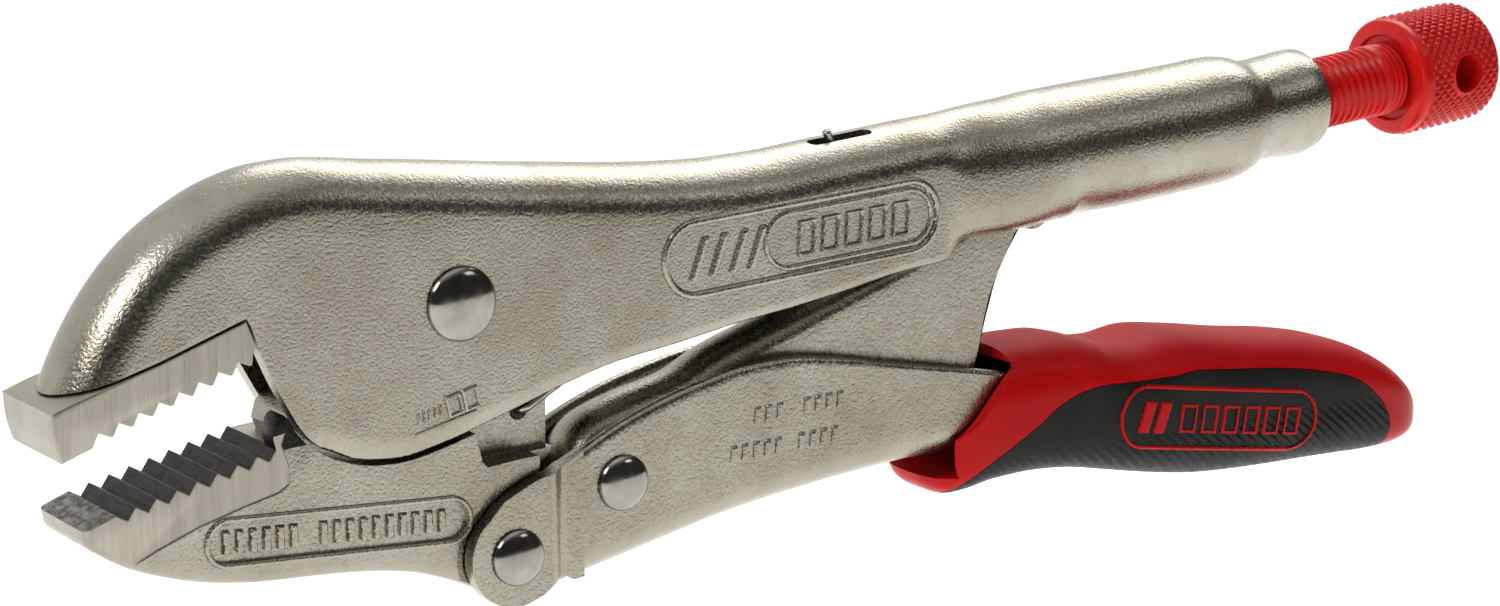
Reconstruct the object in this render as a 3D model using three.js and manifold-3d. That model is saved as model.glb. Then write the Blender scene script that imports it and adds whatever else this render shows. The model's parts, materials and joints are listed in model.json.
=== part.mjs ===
// Locking pliers of the ten-inch class, in millimetres.
// +X runs from the jaws to the adjusting knob, +Z up, and both side faces are parallel to the XZ plane.
// Side outlines are given as [x, z] pairs measured from the main rivet, and the finished group is
// moved so that its origin lies under the middle of the tool, on the level of its lowest point.
import * as THREE from "three";
import { mergeVertices } from "three/addons/utils/BufferGeometryUtils.js";
import Module from "manifold-3d";

const wasm = await Module();
wasm.setup();

// ---- driving dimensions ----------------------------------------------------------------------
const ORIGIN = [66.4, -43.7]; // bottom centre of the whole tool, measured from the main rivet

const MAIN_PIVOT = [0, 0]; // upper handle to movable jaw
const HANDLE_PIVOT = [7.0, -35.5]; // movable jaw to lower handle
const LINK_PIVOT = [24.8, -28.0]; // lower handle to toggle link
const THRUST_END = [98.3, 2.9]; // centre of the link's rounded end, in front of the screw
const RELEASE_PIVOT = [97.0, -27.2]; // lower handle to release lever

const UPPER_HALF = 7.8; // half the width over the upper handle's cheeks
const UPPER_WALL = 2.4;
const CROWN = 6.5; // depth of the rounded back of the upper handle
const LOWER_CROWN = 4.6;
const LINK_CROWN = 3.2;
const TUBE_RADIUS = 9.8;
const NECK_RADIUS = 7.95;
const NECK_END = 155.2;
const SEAM = 0.3; // half the gap along the tube's underside
const LINK_SLOT = 5.35; // half the gap through which the link enters the tube
const JAW_HALF = 8.0; // fixed jaw, a little proud of the cheeks
const MOVING_HALF = 7.7; // movable jaw in front of the cheeks
const TAB_HALF = 5.0; // its tab between the cheeks
const EAR_FIT_HALF = 7.2; // its width where the lower handle's ears lie over it
const LOWER_HALF = 8.0;
const LOWER_WALL = 2.2;
const EAR_OUT = 9.7; // outer face of the lower handle's ears
const EAR_RADIUS = 7.0;
const LINK_HALF = 5.0;
const LINK_WALL = 2.0;
const THRUST_RADIUS = 3.45; // of the link's rounded end

const SCREW_POINT = [140, 12.25]; // a point on the screw's axis
const SCREW_TILT = 0.0995; // slope of the screw's axis, radians
const SCREW_RADIUS = 5.65;
const SCREW_TIP = 104.4;
const PITCH = 1.5;
const KNOB_START = 173.3;
const KNOB_LENGTH = 17.2;
const KNOB_RADIUS = 9.6;
const KNOB_HOLE_RADIUS = 3.0;
const KNOB_HOLE_AT = 9.3; // from the knob's front face
const SHANK_RADIUS = 3.5; // the plain end of the screw inside the knob
const SHANK_LENGTH = 5.5;

const TOOTH_PITCH = 2.93;
const TEETH = 8;
const GAP = 0.35; // air between pieces that touch or turn on each other

const SPRING_HOLE = [11.1, -16.8]; // in the movable jaw's tab
const SPRING_ANCHOR = [65.5, 13.2]; // in the upper handle's back
const SPRING_WIRE = 1.3;
const SPRING_RADIUS = 3.1;
const HOOK_HALF = 3.1; // half the tab's width under the wire hook
const SLOT_SIDES = [-2.6, -0.2]; // the spring's slot lies left of the middle
const LEVER_HALF = 2.8;

const MAIN_BORE = 3.1;
const SMALL_BORE = 2.6;
const RELEASE_BORE = 2.1;
const SPRING_BORE = 1.4;
const PIN_FIT = 0.15; // how much thinner a rivet's shank or a pin is than its bore, in radius
const MAIN_HEAD = { radius: 5.15, height: 1.7 };
const SMALL_HEAD = { radius: 3.9, height: 1.5 };
const THROUGH = 14; // half the length of a cut that goes right across the tool

// ---- solids ----------------------------------------------------------------------------------
function solid(geometry) {
  const bare = new THREE.BufferGeometry().setAttribute("position", geometry.getAttribute("position"));
  if (geometry.index) bare.setIndex(geometry.index);
  const merged = mergeVertices(bare, 1e-4);
  const vertProperties = new Float32Array(merged.attributes.position.array);
  const triVerts = new Uint32Array(merged.index.array);
  return new wasm.Manifold(new wasm.Mesh({ numProp: 3, vertProperties, triVerts }));
}

function geometryOf(body) {
  const mesh = body.getMesh();
  const geometry = new THREE.BufferGeometry();
  geometry.setAttribute("position", new THREE.BufferAttribute(new Float32Array(mesh.vertProperties), 3));
  geometry.setIndex(new THREE.BufferAttribute(new Uint32Array(mesh.triVerts), 1));
  geometry.computeVertexNormals();
  return geometry;
}

// A side outline made into a plate between two Y levels.
function plate(outline, yLow, yHigh) {
  const shape = new THREE.Shape(outline.map(([x, z]) => new THREE.Vector2(x, z)));
  const geometry = new THREE.ExtrudeGeometry(shape, { depth: yHigh - yLow, bevelEnabled: false });
  return solid(geometry.rotateX(Math.PI / 2).translate(0, yHigh, 0));
}

// A plan outline of [x, y] pairs made into a block between two Z levels.
function block(outline, zLow, zHigh) {
  const shape = new THREE.Shape(outline.map(([x, y]) => new THREE.Vector2(x, y)));
  const geometry = new THREE.ExtrudeGeometry(shape, { depth: zHigh - zLow, bevelEnabled: false });
  return solid(geometry.translate(0, 0, zLow));
}

// A round bar across the tool.
function bar([x, z], radius, yLow, yHigh, sides = 24) {
  const geometry = new THREE.CylinderGeometry(radius, radius, yHigh - yLow, sides);
  return solid(geometry.translate(x, (yLow + yHigh) / 2, z));
}

// The two Y ranges further out than half a width: the left one and the right one.
function outside(half) {
  return [[-THROUGH, -half], [half, THROUGH]];
}

function arc([cx, cz], radius, fromDeg, toDeg, steps) {
  return Array.from({ length: steps + 1 }, (_, i) => {
    const a = THREE.MathUtils.degToRad(fromDeg + ((toDeg - fromDeg) * i) / steps);
    return [cx + radius * Math.cos(a), cz + radius * Math.sin(a)];
  });
}

// Joins rings of equal length into a closed skin: quads between rings, and the given end caps.
function skin(rings, capTriangles) {
  const count = rings[0].length;
  const index = [];
  for (let i = 0; i + 1 < rings.length; i++) {
    for (let j = 0; j < count; j++) {
      const a = i * count + j;
      const b = i * count + ((j + 1) % count);
      index.push(a, b, b + count, a, b + count, a + count);
    }
  }
  const last = (rings.length - 1) * count;
  for (const [a, b, c] of capTriangles) index.push(a, c, b, last + a, last + b, last + c);
  const geometry = new THREE.BufferGeometry();
  const places = rings.flat().flatMap((p) => [p.x, p.y, p.z]);
  geometry.setAttribute("position", new THREE.Float32BufferAttribute(places, 3));
  geometry.setIndex(index);
  const body = solid(geometry);
  if (body.volume() > 0) return body;
  geometry.setIndex(index.reverse());
  return solid(geometry);
}

// Sheet metal of even wall bent into a channel. Each station gives the crown point, the free edge,
// the half width and the depth of the rounded crown. Where the legs roll in under a tube, lip is half
// the gap left between the free edges and belly is the shape of the roll: 1 is round, less is squarer.
const ROLLED_LEG_STEPS = 5;
const CROWN_STEPS = 8;

function rolledLeg(station, centre, normal, inset) {
  const half = station.half - inset;
  const depth = station.crown - inset;
  const end = Math.acos((station.lip / half) ** (1 / station.belly));
  return Array.from({ length: ROLLED_LEG_STEPS }, (_, k) => {
    const a = end * (1 - k / ROLLED_LEG_STEPS);
    const drop = depth * Math.sin(a) ** station.belly;
    const y = -half * Math.cos(a) ** station.belly;
    return new THREE.Vector3(centre[0] - normal[0] * drop, y, centre[1] - normal[1] * drop);
  });
}

function sectionSide(station, normal, inset, legSteps) {
  const half = station.half - inset;
  const depth = station.crown - inset;
  const [nx, nz] = normal;
  const centre = [station.top[0] - nx * station.crown, station.top[1] - nz * station.crown];
  const straight = () => Array.from({ length: legSteps }, (_, k) => {
    const t = k / legSteps;
    const x = THREE.MathUtils.lerp(station.edge[0], centre[0], t);
    return new THREE.Vector3(x, -half, THREE.MathUtils.lerp(station.edge[1], centre[1], t));
  });
  const leg = station.lip ? rolledLeg(station, centre, normal, inset) : straight();
  const crown = Array.from({ length: CROWN_STEPS + 1 }, (_, k) => {
    const a = (Math.PI * k) / CROWN_STEPS;
    const rise = depth * Math.sin(a);
    return new THREE.Vector3(centre[0] + nx * rise, -half * Math.cos(a), centre[1] + nz * rise);
  });
  const mirrored = leg.map((p) => new THREE.Vector3(p.x, -p.y, p.z)).reverse();
  return [...leg, ...crown, ...mirrored];
}

function channel(stations, wall, side = 1) {
  const legSteps = stations.some((station) => station.lip) ? ROLLED_LEG_STEPS : 1;
  const rings = stations.map((station, i) => {
    const before = stations[Math.max(i - 1, 0)].top;
    const after = stations[Math.min(i + 1, stations.length - 1)].top;
    const length = Math.hypot(after[0] - before[0], after[1] - before[1]);
    const normal = station.normal ?? [
      (-side * (after[1] - before[1])) / length,
      (side * (after[0] - before[0])) / length,
    ];
    const outer = sectionSide(station, normal, 0, legSteps);
    const inner = sectionSide(station, normal, wall, legSteps);
    return [...outer, ...inner.reverse()];
  });
  const half = rings[0].length / 2;
  const caps = [];
  for (let j = 0; j + 1 < half; j++) {
    const inner = 2 * half - 1 - j;
    caps.push([j, j + 1, inner - 1], [j, inner - 1, inner]);
  }
  return skin(rings, caps);
}

// ---- upper handle ----------------------------------------------------------------------------
const JAW_SEAT = [
  [-70, -12], [-58.6, -7.1], [-55.1, -5.8], [-43.5, -2.5], [-31.3, 1.7], [-30.7, 0.6],
  [-29.2, -3.7], [-27.5, -7.5], [-25.5, -11.3], [-24.1, -13.7], [-22.7, -15.4], [-20.6, -17.1],
  [-30, -30], [-70, -30],
];
// The right cheek is cut a little further back behind the jaws than the left one.
const RIGHT_CHEEK_CUT = [
  [-31.3, 1.7], [-30.7, 0.6], [-28.2, -3.7], [-26.0, -7.5], [-23.9, -11.3], [-22.5, -13.7],
  [-21.1, -15.6], [-18.6, -17.9], [-30, -30], [-40, -10],
];

function upperStation(tx, tz, ex, ez) {
  return { top: [tx, tz], edge: [ex, ez], half: UPPER_HALF, crown: CROWN };
}

function screwAxisAt(x) {
  return SCREW_POINT[1] + (x - SCREW_POINT[0]) * Math.tan(SCREW_TILT);
}

// A section of the rolled part, square to the screw's axis.
function tubeStation(x, centre, half, depth, lip, belly) {
  const normal = [-Math.sin(SCREW_TILT), Math.cos(SCREW_TILT)];
  const top = [x + normal[0] * depth, centre + normal[1] * depth];
  return { top, half, crown: depth, lip, belly, normal };
}

function neckStation(x, radius) {
  return tubeStation(x, screwAxisAt(x), radius, radius, SEAM, 1);
}

const UPPER_STATIONS = [
  upperStation(-57.4, -9.0, -48, -12.0),
  upperStation(-55.6, -4.4, -46, -9.0),
  upperStation(-52.8, 1.1, -43.5, -6.6),
  upperStation(-48.9, 6.8, -41, -5.0),
  upperStation(-44.2, 11.7, -38.5, -4.6),
  upperStation(-38.4, 15.7, -36, -5.0),
  upperStation(-32.0, 18.7, -34, -7.0),
  upperStation(-26.0, 20.1, -31, -11.5),
  upperStation(-20.5, 20.4, -26.5, -15.5),
  upperStation(-15.5, 20.0, -20.6, -17.1),
  upperStation(-10.0, 19.3, -15.5, -19.3),
  upperStation(-4.0, 18.7, -9.6, -19.9),
  upperStation(3.0, 17.9, -3.6, -18.9),
  upperStation(10.0, 17.1, 5.7, -16.3),
  upperStation(19.0, 16.2, 15.1, -13.4),
  upperStation(27.0, 15.4, 24.6, -11.0),
  upperStation(35.0, 14.8, 34.0, -9.7),
  upperStation(43.0, 14.5, 44.4, -8.0),
  upperStation(51.5, 14.7, 52.5, -7.0),
  upperStation(61.0, 15.5, 62.0, -5.6),
  upperStation(72.0, 16.4, 72.7, -3.8),
  upperStation(79.0, 17.0, 80.2, -3.1),
  tubeStation(84.5, 8.2, 8.2, 9.2, LINK_SLOT, 0.5),
  tubeStation(91.0, 8.65, 9.0, 9.5, LINK_SLOT, 0.55),
  tubeStation(97.0, 9.05, 9.6, 9.6, LINK_SLOT, 0.65),
  tubeStation(102.6, 9.5, TUBE_RADIUS, TUBE_RADIUS, LINK_SLOT, 0.8),
  tubeStation(105.4, 9.7, TUBE_RADIUS, TUBE_RADIUS, 2.6, 0.95),
  tubeStation(108.2, 9.9, TUBE_RADIUS, TUBE_RADIUS, SEAM, 1),
  tubeStation(130, 11.3, TUBE_RADIUS, TUBE_RADIUS, SEAM, 1),
  neckStation(137.5, TUBE_RADIUS - 0.1),
  neckStation(140.4, TUBE_RADIUS - 0.7),
  neckStation(142.2, NECK_RADIUS + 0.3),
  neckStation(143.6, NECK_RADIUS),
  neckStation(NECK_END - 0.9, NECK_RADIUS),
  neckStation(NECK_END, NECK_RADIUS - 0.9),
];

const SPRING_SLOT = [[60.2, 9], [60.2, 20], [71.0, 20], [71.0, 9]];

function upperHandle() {
  const bore = SCREW_RADIUS + 0.4;
  const length = 30;
  const from = NECK_END - 17;
  const reamer = onScrewAxis(new THREE.CylinderGeometry(bore, bore, length, 32), from, from + length);
  return channel(UPPER_STATIONS, UPPER_WALL)
    .subtract(plate(JAW_SEAT, -THROUGH, THROUGH))
    .subtract(plate(RIGHT_CHEEK_CUT, 0, THROUGH))
    .subtract(plate(SPRING_SLOT, ...SLOT_SIDES))
    .subtract(bar(MAIN_PIVOT, MAIN_BORE, -THROUGH, THROUGH))
    .subtract(reamer);
}

// Places a shape whose own axis is Y, centred on its middle, along the screw's axis.
function onScrewAxis(geometry, from, to) {
  const middle = (from + to) / 2;
  const turned = geometry.rotateZ(-Math.PI / 2).rotateY(-SCREW_TILT);
  return solid(turned.translate(middle, 0, screwAxisAt(middle)));
}

// ---- jaws ------------------------------------------------------------------------------------
// Saw teeth in a row: the corners of one tooth from its valley on, moved along by the pitch.
function teeth(first, angleDeg, corners) {
  const a = THREE.MathUtils.degToRad(angleDeg);
  const points = [];
  for (let i = 0; i < TEETH; i++) {
    const x = first[0] + i * TOOTH_PITCH * Math.cos(a);
    const z = first[1] + i * TOOTH_PITCH * Math.sin(a);
    for (const [dx, dz] of corners) points.push([x + dx, z + dz]);
  }
  return points;
}

const FIXED_JAW = [
  [-58.3, -7.3], [-58.0, -10.6], [-57.1, -13.8], [-52.9, -12.3],
  ...teeth([-52.1, -10.5], 19.1, [[0, 0], [1.55, -0.66], [1.95, -0.66]]),
  [-30.6, -3.0], [-30.2, -1.9], [-31.4, 1.3], [-43.5, -2.85], [-55.1, -6.15],
];
// The jaw's tongue between the cheeks.
const FIXED_TONGUE = [
  [-48.6, -8.5], [-48.6, -5.0], [-45.0, 0.6], [-40, 5.4], [-34.5, 8.8], [-31.9, 9.2],
  [-31.9, -4.5], [-40, -7.5],
];

function fixedJaw() {
  return plate(FIXED_JAW, -JAW_HALF, JAW_HALF).add(plate(FIXED_TONGUE, -TAB_HALF, TAB_HALF));
}

const MOVING_JAW = [
  [-54.3, -23.2], [-50.0, -21.6],
  ...teeth([-48.35, -22.5], 13.8, [[0, 0], [1.15, 1.65]]),
  [-27.0, -16.3], [-23.1, -16.0],
  [-20.9, -17.6], [-18.6, -18.8], [-15.6, -19.8], [-12.6, -20.3], [-9.6, -20.4], [-3.5, -19.4],
  [2.5, -17.8],
  [11.0, -17.8], [11.8, -23.4], [11.4, -27.0],
  ...arc(HANDLE_PIVOT, 4.8, 40, -100, 7),
  [2.2, -39.9], [-0.9, -38.4], [-3.9, -37.2], [-6.9, -36.2], [-9.9, -35.5], [-18.8, -34.4],
  [-30.4, -33.7], [-38.9, -32.3], [-44.4, -30.6], [-48.5, -28.9], [-51.6, -27.0], [-54.0, -24.9],
];
// A lug behind the teeth, on the left side only.
const JAW_LUG = [
  [-27.2, -17.2], [-27.9, -14.8], [-27.5, -12.5], [-26.6, -11.6], [-25.9, -12.0], [-24.6, -14.2],
  [-23.1, -16.0], [-22.0, -18.0],
];
const LUG_INNER = -3.9;
const MOVING_TAB = [
  [-25.0, -14.5], [-24.4, -12.4], [-14, -3.0], ...arc(MAIN_PIVOT, 8.6, 155, 20, 7),
  [15.4, -5.0], [15.4, -22.6], [13.8, -24.0], [0, -30], [-22, -22],
];
// The tab is thinner round the spring's hole, so that the wire hook passes inside the cheeks.
const HOOK_RECESS = [
  [1.3, -10.5], [1.6, -16.7], [2.9, -22.0], [3.7, -22.9], [8.0, -22.5], [18, -22.0], [18, -6.5],
  [9.5, -6.5],
];
const EAR_CLEARANCE = [
  ...arc(HANDLE_PIVOT, EAR_RADIUS + 1.2, 250, 112, 8),
  [7.2, -25.8], [10.4, -24.4], [16, -23.2], [16, -46], [4, -46],
];

function movableJaw() {
  let jaw = plate(MOVING_JAW, -MOVING_HALF, MOVING_HALF).add(plate(JAW_LUG, -MOVING_HALF, LUG_INNER));
  for (const range of outside(EAR_FIT_HALF)) jaw = jaw.subtract(plate(EAR_CLEARANCE, ...range));
  jaw = jaw.add(plate(MOVING_TAB, -TAB_HALF, TAB_HALF));
  for (const range of outside(HOOK_HALF)) jaw = jaw.subtract(plate(HOOK_RECESS, ...range));
  return jaw
    .subtract(bar(MAIN_PIVOT, MAIN_BORE, -THROUGH, THROUGH))
    .subtract(bar(HANDLE_PIVOT, SMALL_BORE, -THROUGH, THROUGH))
    .subtract(bar(SPRING_HOLE, SPRING_BORE, -THROUGH, THROUGH, 14));
}

// ---- rivets ----------------------------------------------------------------------------------
// A shank with a domed head against each outer face.
function rivet(centre, bore, head, face) {
  const dome = [[0, 1], [0.5, 0.87], [0.83, 0.5], [0.98, 0.14], [1, 0]];
  const profile = dome.map(([r, h]) => new THREE.Vector2(r * head.radius, h * head.height));
  profile.push(new THREE.Vector2(bore - PIN_FIT, 0));
  const half = profile.map((p) => new THREE.Vector2(p.x, p.y + face + GAP / 2));
  const lower = half.map((p) => new THREE.Vector2(p.x, -p.y)).reverse();
  const body = solid(new THREE.LatheGeometry([...half, ...lower].reverse(), 20));
  return body.translate([centre[0], 0, centre[1]]);
}

// ---- lower handle ----------------------------------------------------------------------------
function lowerStation(tx, tz, ex, ez) {
  return { top: [tx, tz], edge: [ex, ez], half: LOWER_HALF, crown: LOWER_CROWN };
}

const LOWER_STATIONS = [
  lowerStation(16.8, -42.2, 16.8, -23.4),
  lowerStation(25.0, -40.5, 24.4, -19.7),
  lowerStation(34.0, -38.6, 32.5, -16.9),
  lowerStation(41.5, -37.0, 39.0, -15.3),
  lowerStation(49.0, -35.8, 45.5, -14.1),
  lowerStation(57.0, -34.8, 52.5, -13.8),
  lowerStation(66.0, -33.9, 61.0, -14.8),
  lowerStation(76.0, -33.2, 71.0, -16.8),
  lowerStation(87.0, -33.0, 83.0, -19.1),
  lowerStation(99.0, -33.6, 96.0, -21.8),
  lowerStation(109.0, -34.6, 107.0, -24.0),
  lowerStation(118.0, -35.8, 117.5, -26.2),
];

const EAR_OUTLINE = [
  ...arc(HANDLE_PIVOT, EAR_RADIUS, 285, 128, 10),
  [4.9, -27.6], [7.8, -26.2], [10.9, -25.0], [14.6, -24.3], [18.5, -22.6], [18.5, -40.4],
  [16.8, -40.6], [14.8, -39.6], [13.0, -40.2], [11.2, -41.4],
];
const EAR_PLAN = [
  [-2, -EAR_OUT], [12.8, -EAR_OUT], [15.2, -LOWER_HALF], [18.5, -LOWER_HALF],
  [18.5, LOWER_WALL - LOWER_HALF], [14.7, LOWER_WALL - LOWER_HALF],
  [12.3, LOWER_WALL - EAR_OUT], [-2, LOWER_WALL - EAR_OUT],
];
const EAR_LEVELS = [-50, -15]; // the ears are cut out of walls between these heights

function lowerHandle() {
  let handle = channel(LOWER_STATIONS, LOWER_WALL, -1);
  const outline = plate(EAR_OUTLINE, -THROUGH, THROUGH);
  for (const side of [1, -1]) {
    const plan = EAR_PLAN.map(([x, y]) => [x, side * y]);
    handle = handle.add(block(plan, ...EAR_LEVELS).intersect(outline));
  }
  return handle
    .subtract(bar(HANDLE_PIVOT, SMALL_BORE, -THROUGH, THROUGH))
    .subtract(bar(LINK_PIVOT, SMALL_BORE, -THROUGH, THROUGH))
    .subtract(bar(RELEASE_PIVOT, RELEASE_BORE, -THROUGH, THROUGH));
}

// ---- toggle link -----------------------------------------------------------------------------
function linkStation(tx, tz, ex, ez) {
  return { top: [tx, tz], edge: [ex, ez], half: LINK_HALF, crown: LINK_CROWN };
}

const LINK_STATIONS = [
  linkStation(19.6, -32.6, 24.5, -32.4),
  linkStation(17.9, -28.4, 26.0, -32.6),
  linkStation(18.4, -23.8, 27.6, -32.4),
  linkStation(21.4, -20.0, 30.0, -31.8),
  linkStation(26.5, -17.9, 34.0, -30.6),
  linkStation(37.5, -15.2, 42.0, -28.6),
  linkStation(43.5, -12.4, 49.0, -27.4),
  linkStation(53.0, -9.3, 58.0, -26.2),
  linkStation(64.0, -5.6, 68.0, -24.8),
  linkStation(76.0, -1.6, 78.0, -23.6),
  linkStation(86.0, 2.5, 84.6, -22.6),
  linkStation(91.5, 4.8, 87.4, -20.6),
  linkStation(95.0, 6.1, 89.9, -10.6),
  linkStation(98.5, 7.0, 94.4, -1.2),
];

function toggleLink() {
  return channel(LINK_STATIONS, LINK_WALL)
    .add(bar(THRUST_END, THRUST_RADIUS, -LINK_HALF, LINK_HALF, 20))
    .subtract(bar(LINK_PIVOT, SMALL_BORE, -THROUGH, THROUGH));
}

// ---- adjusting screw -------------------------------------------------------------------------
function ringed(profile, sides) {
  return new THREE.LatheGeometry(profile.map(([r, h]) => new THREE.Vector2(r, h)), sides);
}

// Crests and roots stand in for the thread along the part of the screw that runs in the neck.
const RING_GROOVE = { from: 107.6, width: 1.9, radius: 4.5 };
const SCREW_BODY = 5.3;
const THREAD_TURNS = 14;
const COLLAR_LENGTH = 3.2;

function adjustingScrew() {
  const shoulder = KNOB_START - SCREW_TIP - GAP;
  const length = shoulder + GAP + SHANK_LENGTH;
  const threadEnd = KNOB_START - SCREW_TIP - COLLAR_LENGTH;
  const grooveStart = RING_GROOVE.from - SCREW_TIP;
  const grooveEnd = grooveStart + RING_GROOVE.width;
  const root = SCREW_RADIUS - PITCH / 2;
  const profile = [[0, 0], [SCREW_BODY - 0.8, 0], [SCREW_BODY, 0.9], [SCREW_BODY, grooveStart],
    [RING_GROOVE.radius, grooveStart], [RING_GROOVE.radius, grooveEnd], [SCREW_BODY, grooveEnd]];
  for (let turn = 0; turn < THREAD_TURNS; turn++) {
    const h = threadEnd - (THREAD_TURNS - turn) * PITCH;
    profile.push([root, h], [SCREW_RADIUS, h + PITCH / 2]);
  }
  const collar = SCREW_RADIUS + 0.1;
  profile.push([root, threadEnd], [collar, threadEnd + 0.8], [collar, shoulder]);
  profile.push([SHANK_RADIUS, shoulder], [SHANK_RADIUS, length], [0, length]);
  const geometry = ringed(profile, 20).translate(0, -length / 2, 0);
  return onScrewAxis(geometry, SCREW_TIP, SCREW_TIP + length);
}

// A split ring in the groove behind the screw's tip.
const STOP_RING = { outer: 6.1, half: 0.6, split: 1.6 };

function stopRing() {
  const inner = RING_GROOVE.radius + GAP;
  const { outer, half, split } = STOP_RING;
  const place = RING_GROOVE.from + RING_GROOVE.width / 2;
  const profile = [[inner, -half], [outer, -half], [outer, half], [inner, half], [inner, -half]];
  const ring = onScrewAxis(ringed(profile, 24), place, place);
  const [front, back] = [place - RING_GROOVE.width, place + RING_GROOVE.width];
  const level = screwAxisAt(place);
  const opening = [[front, 0], [back, 0], [back, split], [front, split]];
  return ring.subtract(block(opening, level, level + 2 * outer));
}

function adjustingKnob() {
  const r = KNOB_RADIUS;
  const socket = SHANK_RADIUS + GAP;
  const depth = SHANK_LENGTH + GAP;
  const profile = [
    [0, depth], [socket, depth], [socket, 0], [r - 1.1, 0], [r - 0.3, 0.8], [r - 0.3, 2.4], [r, 2.8],
    [r, KNOB_LENGTH - 2.2], [r - 0.7, KNOB_LENGTH - 0.8], [r - 2.2, KNOB_LENGTH], [0, KNOB_LENGTH],
  ];
  const geometry = ringed(profile, 32).translate(0, -KNOB_LENGTH / 2, 0);
  const at = KNOB_START + KNOB_HOLE_AT;
  const hole = bar([at, screwAxisAt(at)], KNOB_HOLE_RADIUS, -THROUGH, THROUGH);
  return onScrewAxis(geometry, KNOB_START, KNOB_START + KNOB_LENGTH).subtract(hole);
}

// ---- springs ---------------------------------------------------------------------------------
function wire(points, radius, sides = 6, steps = 24) {
  const path = new THREE.CatmullRomCurve3(points.map(([x, y, z]) => new THREE.Vector3(x, y, z)));
  const section = new THREE.Shape(arc([0, 0], radius, 0, 360, sides).slice(0, sides)
    .map(([x, y]) => new THREE.Vector2(x, y)));
  return solid(new THREE.ExtrudeGeometry(section, { steps, extrudePath: path, bevelEnabled: false }));
}

// The close-wound body is one sleeve of the coil's outer and inner size, with a wire hook at each end.
function returnSpring() {
  const run = [SPRING_ANCHOR[0] - SPRING_HOLE[0], SPRING_ANCHOR[1] - SPRING_HOLE[1]];
  const length = Math.hypot(...run);
  const along = (s, y, lift = 0) => [
    SPRING_HOLE[0] + (run[0] * s - run[1] * lift) / length,
    y,
    SPRING_HOLE[1] + (run[1] * s + run[0] * lift) / length,
  ];
  const start = 13;
  const end = length - 8;
  const r = SPRING_RADIUS;
  const half = (end - start) / 2;
  const inner = r - SPRING_WIRE;
  const profile = [[inner, -half], [r, -half], [r, half], [inner, half], [inner, -half]];
  const sleeve = ringed(profile, 16).rotateZ(-Math.PI / 2).rotateY(-Math.atan2(run[1], run[0]));
  const middle = along((start + end) / 2, 0);
  const coil = solid(sleeve.translate(...middle));
  const w = SPRING_WIRE / 2;
  const beside = HOOK_HALF + w + 0.3;
  const jawHook = wire([
    along(start + 2, w - r), along(start - 1.5, w - r), along(8.5, -beside), along(1.2, -beside),
    along(0, -HOOK_HALF), along(0, HOOK_HALF), along(1.0, beside), along(3.4, beside),
  ], w);
  const [ax, az] = SPRING_ANCHOR;
  const inSlot = (SLOT_SIDES[0] + SLOT_SIDES[1]) / 2;
  const slotHook = wire([
    along(end - 2, -r + w), along(end + 2.0, -r + w), [ax - 2.4, inSlot, az - 1.6],
    [ax - 1.4, inSlot, az + 1.4], [ax - 2.2, inSlot, az + 3.6],
  ], w, 6, 12);
  return coil.add(jawHook).add(slotHook);
}

// ---- release lever, its pin and spring --------------------------------------------------------
const LEVER = [
  [65.5, -30.8], [65.5, -28.7], [67.5, -27.6], [80, -27.2], [90, -25.8],
  ...arc(RELEASE_PIVOT, 3.8, 115, 60, 3),
  [104, -25.8], [118, -27.2], [158, -33.8], [158, -38.6], [122, -31.8], [118, -31.1], [104, -30.4],
  ...arc(RELEASE_PIVOT, 3.2, -60, -115, 3), [90, -30.0], [80, -30.2],
];
const LEVER_TAIL = [[117, -27.1], [158, -33.8], [158, -38.6], [117, -31.0]]; // the part inside the grip

function releaseLever() {
  const bore = bar(RELEASE_PIVOT, RELEASE_BORE, -THROUGH, THROUGH);
  return plate(LEVER, -LEVER_HALF, LEVER_HALF).subtract(bore);
}

function releasePin() {
  const half = LOWER_HALF - 0.1;
  return bar(RELEASE_PIVOT, RELEASE_BORE - PIN_FIT, -half, half, 20);
}

// A leaf that lies on the lower handle's web and bears up against the lever's tail.
const LEAF = { thickness: 0.4, half: 2 };

function releaseSpring() {
  const middle = [[102, -30.9], [107, -31.5], [113, -32.15], [117, -31.6]];
  const under = middle.map(([x, z]) => [x, z - LEAF.thickness / 2]);
  const over = middle.map(([x, z]) => [x, z + LEAF.thickness / 2]);
  return plate([...under, ...over.reverse()], -LEAF.half, LEAF.half);
}

// ---- grip ------------------------------------------------------------------------------------
// Rounded sections from front to tail: place, top, bottom and half width.
const GRIP_STATIONS = [
  [79.2, -31.0, -35.8, 3.2], [79.9, -28.0, -37.4, 5.8], [81.1, -24.5, -38.5, 7.8],
  [82.9, -21.0, -39.1, 9.2], [85, -18.8, -38.9, 10.0], [90, -17.8, -38.0, 10.5],
  [97, -17.6, -37.6, 10.8], [104, -17.7, -38.0, 11.0], [108.5, -18.6, -38.7, 11.2],
  [113, -19.9, -39.6, 11.3], [117.5, -20.1, -40.5, 11.4], [124, -19.3, -41.7, 11.5],
  [131, -20.1, -42.6, 11.5], [142, -21.9, -43.1, 11.4], [153, -23.4, -43.3, 11.1],
  [160, -24.9, -43.5, 10.7], [165.5, -27.0, -43.7, 10.1], [170.5, -29.8, -43.6, 9.2],
  [174.6, -33.0, -43.0, 7.6], [177.2, -35.8, -41.9, 5.3], [178.6, -37.7, -40.4, 2.4],
];
const GRIP_SIDES = 24;
const SQUARENESS = 0.62; // 1 gives ellipses, smaller gives flatter faces

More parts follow.
